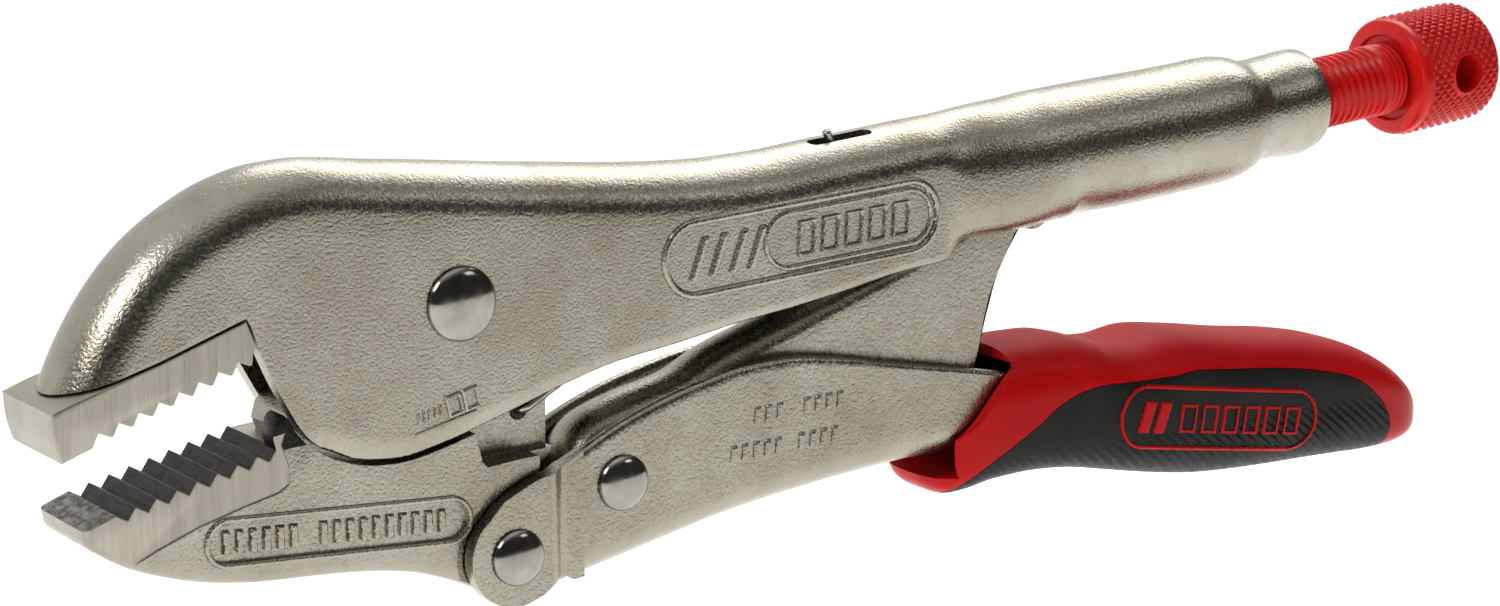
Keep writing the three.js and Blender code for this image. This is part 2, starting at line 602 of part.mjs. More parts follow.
function gripBody(offset) {
  const rings = GRIP_STATIONS.map(([x, top, bottom, half], i) => {
    const ends = i === 0 ? -1 : i === GRIP_STATIONS.length - 1 ? 1 : 0;
    const middle = (top + bottom) / 2;
    const height = (top - bottom) / 2 + offset;
    return Array.from({ length: GRIP_SIDES }, (_, k) => {
      const a = (2 * Math.PI * k) / GRIP_SIDES;
      const shape = (v) => Math.sign(v) * Math.abs(v) ** SQUARENESS;
      return new THREE.Vector3(
        x + ends * offset, (half + offset) * shape(Math.cos(a)), middle + height * shape(Math.sin(a)),
      );
    });
  });
  const caps = Array.from({ length: GRIP_SIDES - 2 }, (_, k) => [0, k + 1, k + 2]);
  return skin(rings, caps);
}

// The mouth is open upwards in front of this rim, so that the steel channel runs out of it.
const GRIP_MOUTH = [
  [60, -10], [92.0, -10], [91.8, -20.3], [89.7, -22.4], [87.6, -24.8], [85.2, -27.4], [81.6, -30.0],
  [77.1, -31.9], [60, -34.5],
];
// Room round the channel for the grip's own small swing.
const GRIP_CAVITY = [
  [60, -10], [91.9, -19.4], [96, -20.0], [107, -21.4], [119.2, -23.6], [119.2, -36.8], [109, -35.2],
  [99, -34.8], [87, -35.5], [76, -36.1], [60, -37],
];
const INLAY = [
  [84.9, -35.7], [90.3, -32.2], [95.9, -28.9], [99.6, -26.5], [103.6, -25.0], [108, -24.5], [115, -24.8],
  [121, -24.8], [126, -24.5], [131, -25.0], [154, -28.4], [159.5, -30.2], [164, -33.2], [167, -36.6],
  [168, -39.4], [167.4, -46], [120, -46], [80, -46], [80.6, -39.8],
];
const INLAY_DEPTH = 1.3;
const CHANNEL_FIT = 0.4; // air on each side of the steel channel inside the grip
const RIB_HALF = 2.2; // of the red rib under the grip, between the inlays

// The outline grown or shrunk about its own corners, by moving each corner along its bisector.
function grown(outline, distance) {
  return outline.map((p, i) => {
    const a = outline[(i + outline.length - 1) % outline.length];
    const b = outline[(i + 1) % outline.length];
    const u = new THREE.Vector2(p[0] - a[0], p[1] - a[1]).normalize();
    const v = new THREE.Vector2(b[0] - p[0], b[1] - p[1]).normalize();
    const n = new THREE.Vector2(-(u.y + v.y), u.x + v.x);
    const turn = Math.acos(THREE.MathUtils.clamp(u.dot(v), -1, 1));
    n.multiplyScalar(distance / (n.length() * Math.cos(turn / 2)));
    return [p[0] + n.x, p[1] + n.y];
  });
}

// The inlays reach down to the seam line under the grip, where a red rib divides them.
function inlayPrism(side, growth) {
  const [left, right] = outside(RIB_HALF - growth);
  return plate(grown(INLAY, growth), ...(side < 0 ? left : right));
}

function gripShell() {
  const core = gripBody(-INLAY_DEPTH - GAP);
  let shell = gripBody(0);
  for (const side of [-1, 1]) shell = shell.subtract(inlayPrism(side, GAP).subtract(core));
  const leverPocket = plate(grown(LEVER_TAIL, GAP), -LEVER_HALF - GAP, LEVER_HALF + GAP);
  return shell
    .subtract(plate(GRIP_MOUTH, -THROUGH, THROUGH))
    .subtract(plate(GRIP_CAVITY, -LOWER_HALF - CHANNEL_FIT, LOWER_HALF + CHANNEL_FIT))
    .subtract(leverPocket);
}

function gripInlay(side) {
  return gripBody(0).intersect(inlayPrism(side, 0)).subtract(gripBody(-INLAY_DEPTH));
}

// ---- assembly --------------------------------------------------------------------------------
const nickel = { color: 0xa8a498, roughness: 0.42, metalness: 0.9 };
const groundSteel = { color: 0xb3aa9a, roughness: 0.35, metalness: 0.95 };
const polished = { color: 0xc9c6bd, roughness: 0.12, metalness: 1.0 };
const springSteel = { color: 0x6e6c68, roughness: 0.35, metalness: 0.95 };
const redCoat = { color: 0xc4161a, roughness: 0.35, metalness: 0.25 };
const redPlastic = { color: 0xc91a1c, roughness: 0.4, metalness: 0.0 };
const blackRubber = { color: 0x1b1c1b, roughness: 0.75, metalness: 0.0 };

const PIECES = [
  ["upper_handle", upperHandle(), nickel],
  ["fixed_jaw", fixedJaw(), groundSteel],
  ["movable_jaw", movableJaw(), nickel],
  ["main_rivet", rivet(MAIN_PIVOT, MAIN_BORE, MAIN_HEAD, UPPER_HALF), polished],
  ["handle_rivet", rivet(HANDLE_PIVOT, SMALL_BORE, SMALL_HEAD, EAR_OUT), polished],
  ["link_rivet", rivet(LINK_PIVOT, SMALL_BORE, SMALL_HEAD, LOWER_HALF), polished],
  ["lower_handle", lowerHandle(), nickel],
  ["toggle_link", toggleLink(), nickel],
  ["return_spring", returnSpring(), springSteel],
  ["adjusting_screw", adjustingScrew(), redCoat],
  ["adjusting_knob", adjustingKnob(), redCoat],
  ["screw_stop_ring", stopRing(), springSteel],
  ["release_lever", releaseLever(), springSteel],
  ["release_pin", releasePin(), springSteel],
  ["release_spring", releaseSpring(), springSteel],
  ["grip_shell", gripShell(), redPlastic],
  ["grip_inlay_left", gripInlay(-1), blackRubber],
  ["grip_inlay_right", gripInlay(1), blackRubber],
];

const group = new THREE.Group();
group.name = "locking_pliers";
for (const [name, body, look] of PIECES) {
  const mesh = new THREE.Mesh(geometryOf(body), new THREE.MeshStandardMaterial(look));
  mesh.name = name;
  mesh.position.set(-ORIGIN[0], 0, -ORIGIN[1]);
  group.add(mesh);
}

export default group;
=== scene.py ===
"""Locking pliers: the visible surfaces, materials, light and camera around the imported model."""

import json
import math

import bmesh
import bpy
import numpy as np
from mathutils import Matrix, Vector


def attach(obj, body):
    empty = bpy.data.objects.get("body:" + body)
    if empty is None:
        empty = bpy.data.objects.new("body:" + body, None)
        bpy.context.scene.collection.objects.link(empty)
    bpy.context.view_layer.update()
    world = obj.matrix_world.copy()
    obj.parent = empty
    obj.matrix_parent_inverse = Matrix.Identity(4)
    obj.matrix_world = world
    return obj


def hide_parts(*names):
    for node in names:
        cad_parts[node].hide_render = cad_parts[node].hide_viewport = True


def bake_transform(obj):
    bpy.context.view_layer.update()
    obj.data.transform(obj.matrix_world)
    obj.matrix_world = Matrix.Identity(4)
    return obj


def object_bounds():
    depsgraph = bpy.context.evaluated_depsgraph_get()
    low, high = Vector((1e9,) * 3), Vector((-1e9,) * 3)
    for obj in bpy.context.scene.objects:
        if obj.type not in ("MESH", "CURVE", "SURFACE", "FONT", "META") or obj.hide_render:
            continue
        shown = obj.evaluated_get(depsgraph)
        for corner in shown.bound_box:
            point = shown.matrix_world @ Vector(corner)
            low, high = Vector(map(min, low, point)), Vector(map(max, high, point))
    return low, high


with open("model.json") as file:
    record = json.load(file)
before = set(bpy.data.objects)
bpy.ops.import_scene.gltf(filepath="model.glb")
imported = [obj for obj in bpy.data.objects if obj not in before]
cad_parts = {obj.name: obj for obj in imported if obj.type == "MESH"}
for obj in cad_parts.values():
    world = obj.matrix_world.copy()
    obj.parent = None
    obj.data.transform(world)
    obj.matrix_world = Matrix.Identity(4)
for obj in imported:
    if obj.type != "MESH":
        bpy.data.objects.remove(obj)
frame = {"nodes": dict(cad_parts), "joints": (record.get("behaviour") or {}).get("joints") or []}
cad_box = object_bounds()

scene = bpy.context.scene
NODES = frame["nodes"]
JOINTS = {j["name"]: j for j in frame["joints"]}

# ---- dimensions, in millimetres ---------------------------------------------------------------
# Side outlines are [x, z] pairs measured from the main rivet, on the middle plane of the tool.
MM = 0.001
MAIN = Vector(JOINTS["jaw_pivot"]["pos_m"])
HANDLE_PIVOT = (7.0, -35.5)
LINK_PIVOT = (24.8, -28.0)

UPPER_HALF = 7.8
UPPER_WALL = 2.4
CROWN = 6.5
TUBE_RADIUS = 9.8
NECK_RADIUS = 7.95
NECK_END = 155.2
SEAM = 0.3
LINK_SLOT = 5.35
JAW_HALF = 8.0
MOVING_HALF = 7.7
TAB_HALF = 5.0
EAR_FIT_HALF = 7.2
LOWER_HALF = 8.0
LOWER_WALL = 2.2
EAR_OUT = 9.7
EAR_RADIUS = 7.0
LINK_HALF = 5.0
LINK_WALL = 2.0
THRUST_END = (98.3, 2.9)
THRUST_RADIUS = 3.45

SCREW_POINT = (140.0, 12.25)
SCREW_TILT = 0.0995
SCREW_RADIUS = 5.65
PITCH = 1.5
KNOB_START = 173.3
KNOB_LENGTH = 17.2
KNOB_RADIUS = 9.6
KNOB_HOLE_RADIUS = 3.0
KNOB_HOLE_AT = 9.3

TOOTH_PITCH = 2.93
TEETH = 8
SPRING_HOLE = (11.1, -16.8)
SPRING_ANCHOR = (65.5, 13.2)
SPRING_WIRE = 1.3
SPRING_RADIUS = 3.1
HOOK_HALF = 3.1
SLOT_SIDES = (-2.6, -0.2)
THROUGH = 14.0


def framed(points):
    """Points in millimetres from the main rivet, as metres in the frame."""
    p = np.array(points, float) * MM
    p[..., 0] += MAIN.x
    p[..., 2] += MAIN.z
    return p


def unframed(co):
    """A frame point in metres, as millimetres from the main rivet."""
    return (co[0] - MAIN.x) / MM, co[1] / MM, (co[2] - MAIN.z) / MM


# ---- node materials ---------------------------------------------------------------------------
class Shader:
    """A Principled material with small helpers for its node tree."""

    def __init__(self, name, **values):
        self.material = bpy.data.materials.new(name)
        self.material.use_nodes = True
        self.nodes = self.material.node_tree.nodes
        self.links = self.material.node_tree.links
        self.principled = self.nodes["Principled BSDF"]
        for socket, value in values.items():
            label = socket.replace("_", " ").title().replace("Ior", "IOR")
            self.principled.inputs[label].default_value = value
        self.coord = self.nodes.new("ShaderNodeTexCoord").outputs["Object"]
        self.bumps = []

    def stretched(self, scale):
        mapping = self.nodes.new("ShaderNodeMapping")
        mapping.inputs["Scale"].default_value = scale
        self.links.new(self.coord, mapping.inputs["Vector"])
        return mapping.outputs["Vector"]

    def noise(self, scale, detail=2.0, rough=0.5, vector=None):
        node = self.nodes.new("ShaderNodeTexNoise")
        node.inputs["Scale"].default_value = scale
        node.inputs["Detail"].default_value = detail
        node.inputs["Roughness"].default_value = rough
        self.links.new(vector or self.coord, node.inputs["Vector"])
        return node.outputs["Fac"]

    def spread(self, value, low, high, from_low=0.3, from_high=0.7):
        node = self.nodes.new("ShaderNodeMapRange")
        limits = {"From Min": from_low, "From Max": from_high, "To Min": low, "To Max": high}
        for socket, number in limits.items():
            node.inputs[socket].default_value = number
        self.links.new(value, node.inputs["Value"])
        return node.outputs["Result"]

    def mix(self, factor, a, b):
        node = self.nodes.new("ShaderNodeMix")
        node.data_type = "RGBA"
        for socket, value in (("Factor", factor), ("A", a), ("B", b)):
            target = next(s for s in node.inputs if s.name == socket and s.enabled
                          and (s.type == "RGBA" or socket == "Factor"))
            if isinstance(value, (int, float)):
                target.default_value = value
            elif isinstance(value, tuple):
                target.default_value = (*value, 1)
            else:
                self.links.new(value, target)
        return next(s for s in node.outputs if s.enabled)

    def math(self, operation, a, b=0.0):
        node = self.nodes.new("ShaderNodeMath")
        node.operation = operation
        for index, value in enumerate((a, b)):
            if isinstance(value, (int, float)):
                node.inputs[index].default_value = value
            else:
                self.links.new(value, node.inputs[index])
        return node.outputs["Value"]

    def axis(self, name):
        node = self.nodes.new("ShaderNodeSeparateXYZ")
        self.links.new(self.coord, node.inputs["Vector"])
        return node.outputs[name]

    def normal(self, name):
        geometry = self.nodes.new("ShaderNodeNewGeometry")
        node = self.nodes.new("ShaderNodeSeparateXYZ")
        self.links.new(geometry.outputs["Normal"], node.inputs["Vector"])
        return node.outputs[name]

    def bump(self, height, depth, strength=1.0):
        node = self.nodes.new("ShaderNodeBump")
        node.inputs["Strength"].default_value = strength
        node.inputs["Distance"].default_value = depth
        self.links.new(height, node.inputs["Height"])
        if self.bumps:
            self.links.new(self.bumps[-1], node.inputs["Normal"])
        self.bumps.append(node.outputs["Normal"])

    def rounded_edges(self, radius):
        node = self.nodes.new("ShaderNodeBevel")
        node.samples = 6
        node.inputs["Radius"].default_value = radius
        self.bumps.append(node.outputs["Normal"])

    def set(self, socket, value):
        self.links.new(value, self.principled.inputs[socket])

    def tones(self, value, dark, light, *limits):
        """The base colour, between two tones by a value."""
        self.set("Base Color", self.mix(self.spread(value, 0.0, 1.0, *limits), dark, light))

    def rough(self, value, low, high):
        self.set("Roughness", self.spread(value, low, high))

    def done(self):
        if self.bumps:
            self.links.new(self.bumps[-1], self.principled.inputs["Normal"])
        return self.material


def shade(tint, *shares):
    return tuple(c * share for c, share in zip(tint, shares))


def satin_nickel():
    s = Shader("satin_nickel", metallic=1.0)
    s.rounded_edges(0.00012)
    tint = (0.365, 0.347, 0.285)
    cloud = s.noise(70, 4, 0.6)
    dirt = s.noise(420, 3, 0.65)
    colour = s.mix(s.spread(cloud, 0.0, 1.0), shade(tint, 0.80, 0.775, 0.72), shade(tint, 1.12, 1.12, 1.12))
    s.set("Base Color", s.mix(s.spread(dirt, 0.0, 0.35, 0.55, 0.75), colour, shade(tint, 0.62, 0.60, 0.55)))
    grain = s.noise(2300, 2, 0.6)
    s.rough(grain, 0.18, 0.34)
    s.bump(s.noise(260, 2, 0.5), 0.00004, 0.3)
    s.bump(grain, 0.00010, 0.85)
    return s.done()


def ground_steel():
    s = Shader("ground_steel", metallic=1.0)
    s.rounded_edges(0.0003)
    tint = (0.40, 0.375, 0.31)
    lines = s.noise(1.0, 3, 0.6, s.stretched((3000, 1800, 130)))
    broad = s.noise(1.0, 2, 0.5, s.stretched((620, 500, 45)))
    s.tones(lines, shade(tint, 0.86, 0.86, 0.86), shade(tint, 1.1, 1.1, 1.1), 0.25, 0.75)
    s.rough(broad, 0.30, 0.44)
    s.bump(lines, 0.00005, 0.8)
    return s.done()


# Painted shade: a near-black steel that stands for the shade on the movable jaw's tooth flanks and on its
# lug.
def painted_shade_steel():
    s = Shader("painted_shade_steel", metallic=0.9)
    s.rounded_edges(0.00015)
    lines = s.noise(1.0, 3, 0.6, s.stretched((2600, 160, 2600)))
    s.tones(lines, (0.007, 0.0065, 0.006), (0.04, 0.036, 0.03))
    s.rough(s.noise(800, 2), 0.26, 0.46)
    s.bump(lines, 0.00008, 0.8)
    return s.done()


def black_tip():
    s = Shader("blackened_steel", metallic=0.7)
    s.rounded_edges(0.0003)
    spots = s.noise(900, 4, 0.65)
    s.tones(spots, (0.05, 0.048, 0.044), (0.26, 0.25, 0.225), 0.4, 0.62)
    s.rough(spots, 0.5, 0.34)
    s.bump(spots, 0.00009, 1.0)
    return s.done()


def polished_steel():
    s = Shader("polished_steel", metallic=1.0)
    s.tones(s.noise(300, 3), (0.27, 0.262, 0.232), (0.38, 0.368, 0.335))
    s.rough(s.noise(700, 3), 0.10, 0.20)
    s.bump(s.noise(500, 2), 0.00002, 0.5)
    return s.done()


def spring_steel():
    s = Shader("spring_steel", metallic=1.0)
    s.tones(s.noise(500, 3), (0.30, 0.29, 0.27), (0.5, 0.485, 0.45))
    s.rough(s.noise(900, 2), 0.2, 0.36)
    s.bump(s.noise(1600, 2), 0.00002, 0.6)
    return s.done()


def red_coating():
    s = Shader("red_coating", metallic=0.0, coat_weight=0.12, coat_roughness=0.12, specular_ior_level=0.16)
    s.rounded_edges(0.0003)
    s.tones(s.noise(260, 3, 0.55), (0.52, 0.004, 0.004), (0.70, 0.012, 0.008))
    s.rough(s.noise(900, 3), 0.24, 0.38)
    s.bump(s.noise(1400, 2), 0.00003, 0.7)
    return s.done()


def red_plastic():
    s = Shader("red_grip", metallic=0.0, specular_ior_level=0.1)
    s.tones(s.noise(90, 3, 0.5), (0.45, 0.004, 0.005), (0.52, 0.007, 0.009))
    upward = s.spread(s.normal("Z"), 0.0, 1.0, 0.25, 0.8)
    s.set("Roughness", s.spread(upward, 0.25, 0.52, 0.0, 1.0))
    s.bump(s.noise(2600, 2), 0.000035, 0.7)
    s.bump(s.noise(120, 2), 0.00010, 0.3)
    return s.done()


def black_rubber():
    s = Shader("black_inlay", metallic=0.0, specular_ior_level=0.16)
    s.tones(s.noise(160, 3, 0.55), (0.0065, 0.0075, 0.0065), (0.014, 0.0155, 0.0135))
    s.rough(s.noise(1500, 3), 0.36, 0.55)
    waves = s.nodes.new("ShaderNodeTexWave")
    waves.inputs["Scale"].default_value = 1.0
    waves.bands_direction = "X"
    slanted = s.nodes.new("ShaderNodeMapping")
    slanted.inputs["Rotation"].default_value = (0, math.radians(52), 0)
    slanted.inputs["Scale"].default_value = (260, 260, 260)
    s.links.new(s.coord, slanted.inputs["Vector"])
    s.links.new(slanted.outputs["Vector"], waves.inputs["Vector"])
    low_down = s.spread(s.axis("Z"), 1.0, 0.0, 0.0075, 0.0105)
    s.bump(s.math("MULTIPLY", waves.outputs["Fac"], low_down), 0.0003, 1.0)
    s.bump(s.noise(3000, 2), 0.00003, 0.7)
    return s.done()


NICKEL = satin_nickel()
GROUND = ground_steel()
PAINTED_SHADE_STEEL = painted_shade_steel()
BLACKENED = black_tip()
POLISHED = polished_steel()
SPRING = spring_steel()
COATING = red_coating()
RED = red_plastic()
BLACK = black_rubber()
SLOTS = {
    NICKEL: "satin_nickel", GROUND: "ground_steel", POLISHED: "polished_steel", COATING: "red_coating",
    RED: "red_grip", BLACK: "black_inlay",
}


# ---- mesh helpers -----------------------------------------------------------------------------
def make(name, points, faces):
    """A mesh object from points in millimetres, its faces turned outwards."""
    mesh = bpy.data.meshes.new(name)
    mesh.from_pydata(framed(points).tolist(), [], faces)
    bm = bmesh.new()
    bm.from_mesh(mesh)
    bmesh.ops.recalc_face_normals(bm, faces=bm.faces)
    bm.to_mesh(mesh)
    bm.free()
    obj = bpy.data.objects.new(name, mesh)
    scene.collection.objects.link(obj)
    return obj


def closed_skin(rings):
    """Points and faces of a skin over equal rings, with its ends closed."""
    rings = np.asarray(rings, float)
    count, size = rings.shape[:2]
    faces = []
    for i in range(count - 1):
        for j in range(size):
            a, b = i * size + j, i * size + (j + 1) % size
            faces.append((a, b, b + size, a + size))
    faces.append(tuple(range(size))[::-1])
    faces.append(tuple(range((count - 1) * size, count * size)))
    return rings.reshape(-1, 3), faces


def between(name, ring, opposite):
    """The solid between two equal outlines."""
    n = len(ring)
    faces = [tuple(range(n))[::-1], tuple(range(n, 2 * n))]
    faces += [(i, (i + 1) % n, n + (i + 1) % n, n + i) for i in range(n)]
    return make(name, ring + opposite, faces)


def prism(name, outline, low, high):
    """A side outline as a plate between two Y levels."""
    return between(name, [(x, low, z) for x, z in outline], [(x, high, z) for x, z in outline])


def bar(name, centre, radius, low, high, sides=48):
    return prism(name, arc(centre, radius, 0, 360, sides)[:-1], low, high)


def arc(centre, radius, start, end, steps):
    angles = np.radians(np.linspace(start, end, steps + 1))
    return [(centre[0] + radius * math.cos(a), centre[1] + radius * math.sin(a)) for a in angles]


def curved(points, steps=4):
    """A smooth line through points."""
    return [tuple(p) for p in refined(np.array(points, float), steps)]


def refined(rows, steps):
    """Hermite curves through rows of numbers or points, in equal steps between each two."""
    rows = np.asarray(rows, float)
    flat = rows.reshape(len(rows), -1)
    gaps = np.maximum(np.linalg.norm(np.diff(flat, axis=0), axis=1), 1e-9)
    slopes = np.diff(flat, axis=0) / gaps[:, None]
    tangents = np.empty_like(flat)
    tangents[0], tangents[-1] = slopes[0], slopes[-1]
    weight = (gaps[:-1] / (gaps[:-1] + gaps[1:]))[:, None]
    before, after = slopes[:-1], slopes[1:]
    same_way = before * after > 1e-12
    mean = before * after / np.where(same_way, weight * before + (1 - weight) * after, 1)
    tangents[1:-1] = np.where(same_way, mean, 0)
    out = []
    for i, gap in enumerate(gaps):
        for k in range(steps):
            t = k / steps
            out.append((2 * t**3 - 3 * t**2 + 1) * flat[i] + (t**3 - 2 * t**2 + t) * gap * tangents[i]
                       + (3 * t**2 - 2 * t**3) * flat[i + 1] + (t**3 - t**2) * gap * tangents[i + 1])
    out.append(flat[-1])
    return np.array(out).reshape(-1, *rows.shape[1:])


def boolean(obj, other, operation="DIFFERENCE"):
    """Cuts obj with another object, or joins them, and removes the other."""
    modifier = obj.modifiers.new("boolean", "BOOLEAN")
    modifier.operation = operation
    modifier.solver = "MANIFOLD"
    modifier.object = other
    bpy.context.view_layer.update()
    graph = bpy.context.evaluated_depsgraph_get()
    mesh = bpy.data.meshes.new_from_object(obj.evaluated_get(graph))
    obj.modifiers.clear()
    obj.data = mesh
    bpy.data.objects.remove(other)
    return obj


def cut(obj, other):
    return boolean(obj, other)


def join(obj, other):
    return boolean(obj, other, "UNION")


def bevel(obj, width, chosen, segments=3):
    """Rounds the edges that chosen(a, b) accepts, given both ends in millimetres from the main rivet."""
    bm = bmesh.new()
    bm.from_mesh(obj.data)
    edges = [e for e in bm.edges if chosen(unframed(e.verts[0].co), unframed(e.verts[1].co))]
    bmesh.ops.bevel(bm, geom=edges, offset=width * MM, segments=segments, profile=0.5, affect="EDGES",
                    clamp_overlap=True)
    bm.to_mesh(obj.data)
    bm.free()
    return obj


def paint(obj, *materials, choose=None):
    """Gives obj its materials. choose(centre, normal) returns the number of a face's material."""
    obj.data.materials.clear()
    for material in materials:
        obj.data.materials.append(material)
    for face in obj.data.polygons:
        face.material_index = choose(unframed(face.center), face.normal) if choose else 0


def finish_piece(obj, body, slot, *nodes, smooth=38):
    """Smooth shading, body and the CAD nodes that the piece stands for. The slot argument is not used."""
    obj.data.shade_smooth()
    obj.data.set_sharp_from_angle(angle=math.radians(smooth))
    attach(obj, body)
    if nodes:
        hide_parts(*nodes)
    return obj


def dressed(obj, material, body, *nodes, smooth=38):
    """A finished piece of one material."""
    paint(obj, material)
    return finish_piece(obj, body, SLOTS[material], *nodes, smooth=smooth)


# ---- sheet metal channels ---------------------------------------------------------------------
LEG_STEPS = 10
CROWN_STEPS = 28
RIM_STEPS = 6


def station(tx, tz, ex, ez, half=UPPER_HALF, crown=CROWN):
    return {"top": (tx, tz), "edge": (ex, ez), "half": half, "crown": crown}


def screw_axis_at(x):
    return SCREW_POINT[1] + (x - SCREW_POINT[0]) * math.tan(SCREW_TILT)


def tube_station(x, centre, half, depth, lip, belly):
    normal = (-math.sin(SCREW_TILT), math.cos(SCREW_TILT))
    top = (x + normal[0] * depth, centre + normal[1] * depth)
    return {"top": top, "half": half, "crown": depth, "lip": lip, "belly": belly, "normal": normal}


def neck_station(x, radius):
    return tube_station(x, screw_axis_at(x), radius, radius, SEAM, 1)


def section_side(st, normal, inset):
    """One skin of a section, from the left free edge over the crown to the right free edge."""
    half, depth = st["half"] - inset, st["crown"] - inset
    cx, cz = st["top"][0] - normal[0] * st["crown"], st["top"][1] - normal[1] * st["crown"]
    leg = []
    for k in range(LEG_STEPS):
        t = k / LEG_STEPS
        if "lip" in st:
            end = math.acos((st["lip"] / half) ** (1 / st["belly"]))
            a = end * (1 - t)
            drop = depth * math.sin(a) ** st["belly"]
            leg.append((cx - normal[0] * drop, -half * math.cos(a) ** st["belly"], cz - normal[1] * drop))
        else:
            ex, ez = st["edge"]
            leg.append((ex + (cx - ex) * t, -half, ez + (cz - ez) * t))
    crown = []
    for k in range(CROWN_STEPS + 1):
        a = math.pi * k / CROWN_STEPS
        rise = depth * math.sin(a)
        crown.append((cx + normal[0] * rise, -half * math.cos(a), cz + normal[1] * rise))
    return leg + crown + [(x, -y, z) for x, y, z in reversed(leg)]


def rim(outer, inner, towards, radius):
    """Points round the free edge from the outer skin to the inner one, rolled where radius is above 0."""
    outer, inner, towards = (np.array(p, float) for p in (outer, inner, towards))
    along = towards - outer
    along /= max(np.linalg.norm(along), 1e-9)
    points = []
    for k in range(RIM_STEPS + 1):
        a = math.pi * k / RIM_STEPS
        share = (1 - math.cos(a)) / 2
        points.append(outer + (inner - outer) * share + along * radius * (1 - math.sin(a)))
    return points


def channel_rings(stations, wall, side=1, roll=0.0):
    rings = []
    for i, st in enumerate(stations):
        before, after = stations[max(i - 1, 0)]["top"], stations[min(i + 1, len(stations) - 1)]["top"]
        length = math.hypot(after[0] - before[0], after[1] - before[1])
        normal = st.get("normal") or (-side * (after[1] - before[1]) / length,
                                      side * (after[0] - before[0]) / length)
        outer, inner = section_side(st, normal, 0), section_side(st, normal, wall)
        radius = 0.0 if "lip" in st else roll
        right = rim(outer[-1], inner[-1], outer[-2], radius)
        left = rim(inner[0], outer[0], inner[1], radius)
        rings.append(outer[1:-1] + right + inner[1:-1][::-1] + left)
    return np.array(rings, float)


def channel(name, stations, wall, side=1, roll=0.0, steps=4):
    points, faces = closed_skin(refined(channel_rings(stations, wall, side, roll), steps))
    return make(name, points, faces)


# ---- upper handle -----------------------------------------------------------------------------
JAW_SEAT = [
    (-70, -12), (-58.6, -7.1), (-55.1, -5.8), (-43.5, -2.5), (-31.3, 1.7), (-30.7, 0.6),
    *curved([(-29.2, -3.7), (-27.5, -7.5), (-25.5, -11.3), (-24.1, -13.7), (-22.7, -15.4),
             (-20.6, -17.1)], 3),
    (-30, -30), (-70, -30),
]
RIGHT_CHEEK_CUT = [
    (-31.3, 1.7), (-30.7, 0.6),
    *curved([(-28.2, -3.7), (-26.0, -7.5), (-23.9, -11.3), (-22.5, -13.7), (-21.1, -15.6),
             (-18.6, -17.9)], 3),
    (-30, -30), (-40, -10),
]
UPPER_ROWS = [
    (-57.4, -9.0, -48, -12.0), (-55.6, -4.4, -46, -9.0), (-52.8, 1.1, -43.5, -6.6),
    (-48.9, 6.8, -41, -5.0), (-44.2, 11.7, -38.5, -4.6), (-38.4, 15.7, -36, -5.0),
    (-32.0, 18.7, -34, -7.0), (-26.0, 20.1, -31, -11.5), (-20.5, 20.4, -26.5, -15.5),
    (-15.5, 20.0, -20.6, -17.1), (-10.0, 19.3, -15.5, -19.3), (-4.0, 18.7, -9.6, -19.9),
    (3.0, 17.9, -3.6, -18.9), (10.0, 17.1, 5.7, -16.3), (19.0, 16.2, 15.1, -13.4),
    (27.0, 15.4, 24.6, -11.0), (35.0, 14.8, 34.0, -9.7), (43.0, 14.5, 44.4, -8.0),
    (51.5, 14.7, 52.5, -7.0), (61.0, 15.5, 62.0, -5.6), (72.0, 16.4, 72.7, -3.8),
    (79.0, 17.0, 80.2, -3.1),
]
UPPER_STATIONS = [station(*row) for row in UPPER_ROWS] + [
    tube_station(84.5, 8.2, 8.2, 9.2, LINK_SLOT, 0.5), tube_station(91.0, 8.65, 9.0, 9.5, LINK_SLOT, 0.55),
    tube_station(97.0, 9.05, 9.6, 9.6, LINK_SLOT, 0.65),
    tube_station(102.6, 9.5, TUBE_RADIUS, TUBE_RADIUS, LINK_SLOT, 0.8),
    tube_station(105.4, 9.7, TUBE_RADIUS, TUBE_RADIUS, 2.6, 0.95),
    tube_station(108.2, 9.9, TUBE_RADIUS, TUBE_RADIUS, SEAM, 1),
    tube_station(130, 11.3, TUBE_RADIUS, TUBE_RADIUS, SEAM, 1),
    neck_station(137.5, TUBE_RADIUS - 0.1), neck_station(140.4, TUBE_RADIUS - 0.7),
    neck_station(142.2, NECK_RADIUS + 0.3), neck_station(143.6, NECK_RADIUS),
    neck_station(NECK_END - 0.9, NECK_RADIUS), neck_station(NECK_END, NECK_RADIUS - 0.9),
]
SPRING_SLOT = [(60.2, 9), (60.2, 20), (71.0, 20), (71.0, 9)]


def on_screw(along, radius, angle):
    """A point round the screw's axis: along is measured like x at the axis."""
    ex, ez = math.cos(SCREW_TILT), math.sin(SCREW_TILT)
    s = along - SCREW_POINT[0]
    y, up = radius * math.cos(angle), radius * math.sin(angle)
    return (SCREW_POINT[0] + s * ex - up * ez, y, SCREW_POINT[1] + s * ez + up * ex)


def turned(name, profile, sides=64):
    """A solid of revolution round the screw's axis from (along, radius) pairs that start and end on it."""
    inner = profile[1:-1]
    points = [on_screw(profile[0][0], 0, 0), on_screw(profile[-1][0], 0, 0)]
    points += [on_screw(s, r, 2 * math.pi * k / sides) for s, r in inner for k in range(sides)]
    faces = []
    for k in range(sides):
        n = (k + 1) % sides
        faces.append((0, 2 + k, 2 + n))
        last = 2 + (len(inner) - 1) * sides
        faces.append((1, last + n, last + k))
        for i in range(len(inner) - 1):
            a, b = 2 + i * sides, 2 + (i + 1) * sides
            faces.append((a + k, b + k, b + n, a + n))
    return make(name, points, faces)


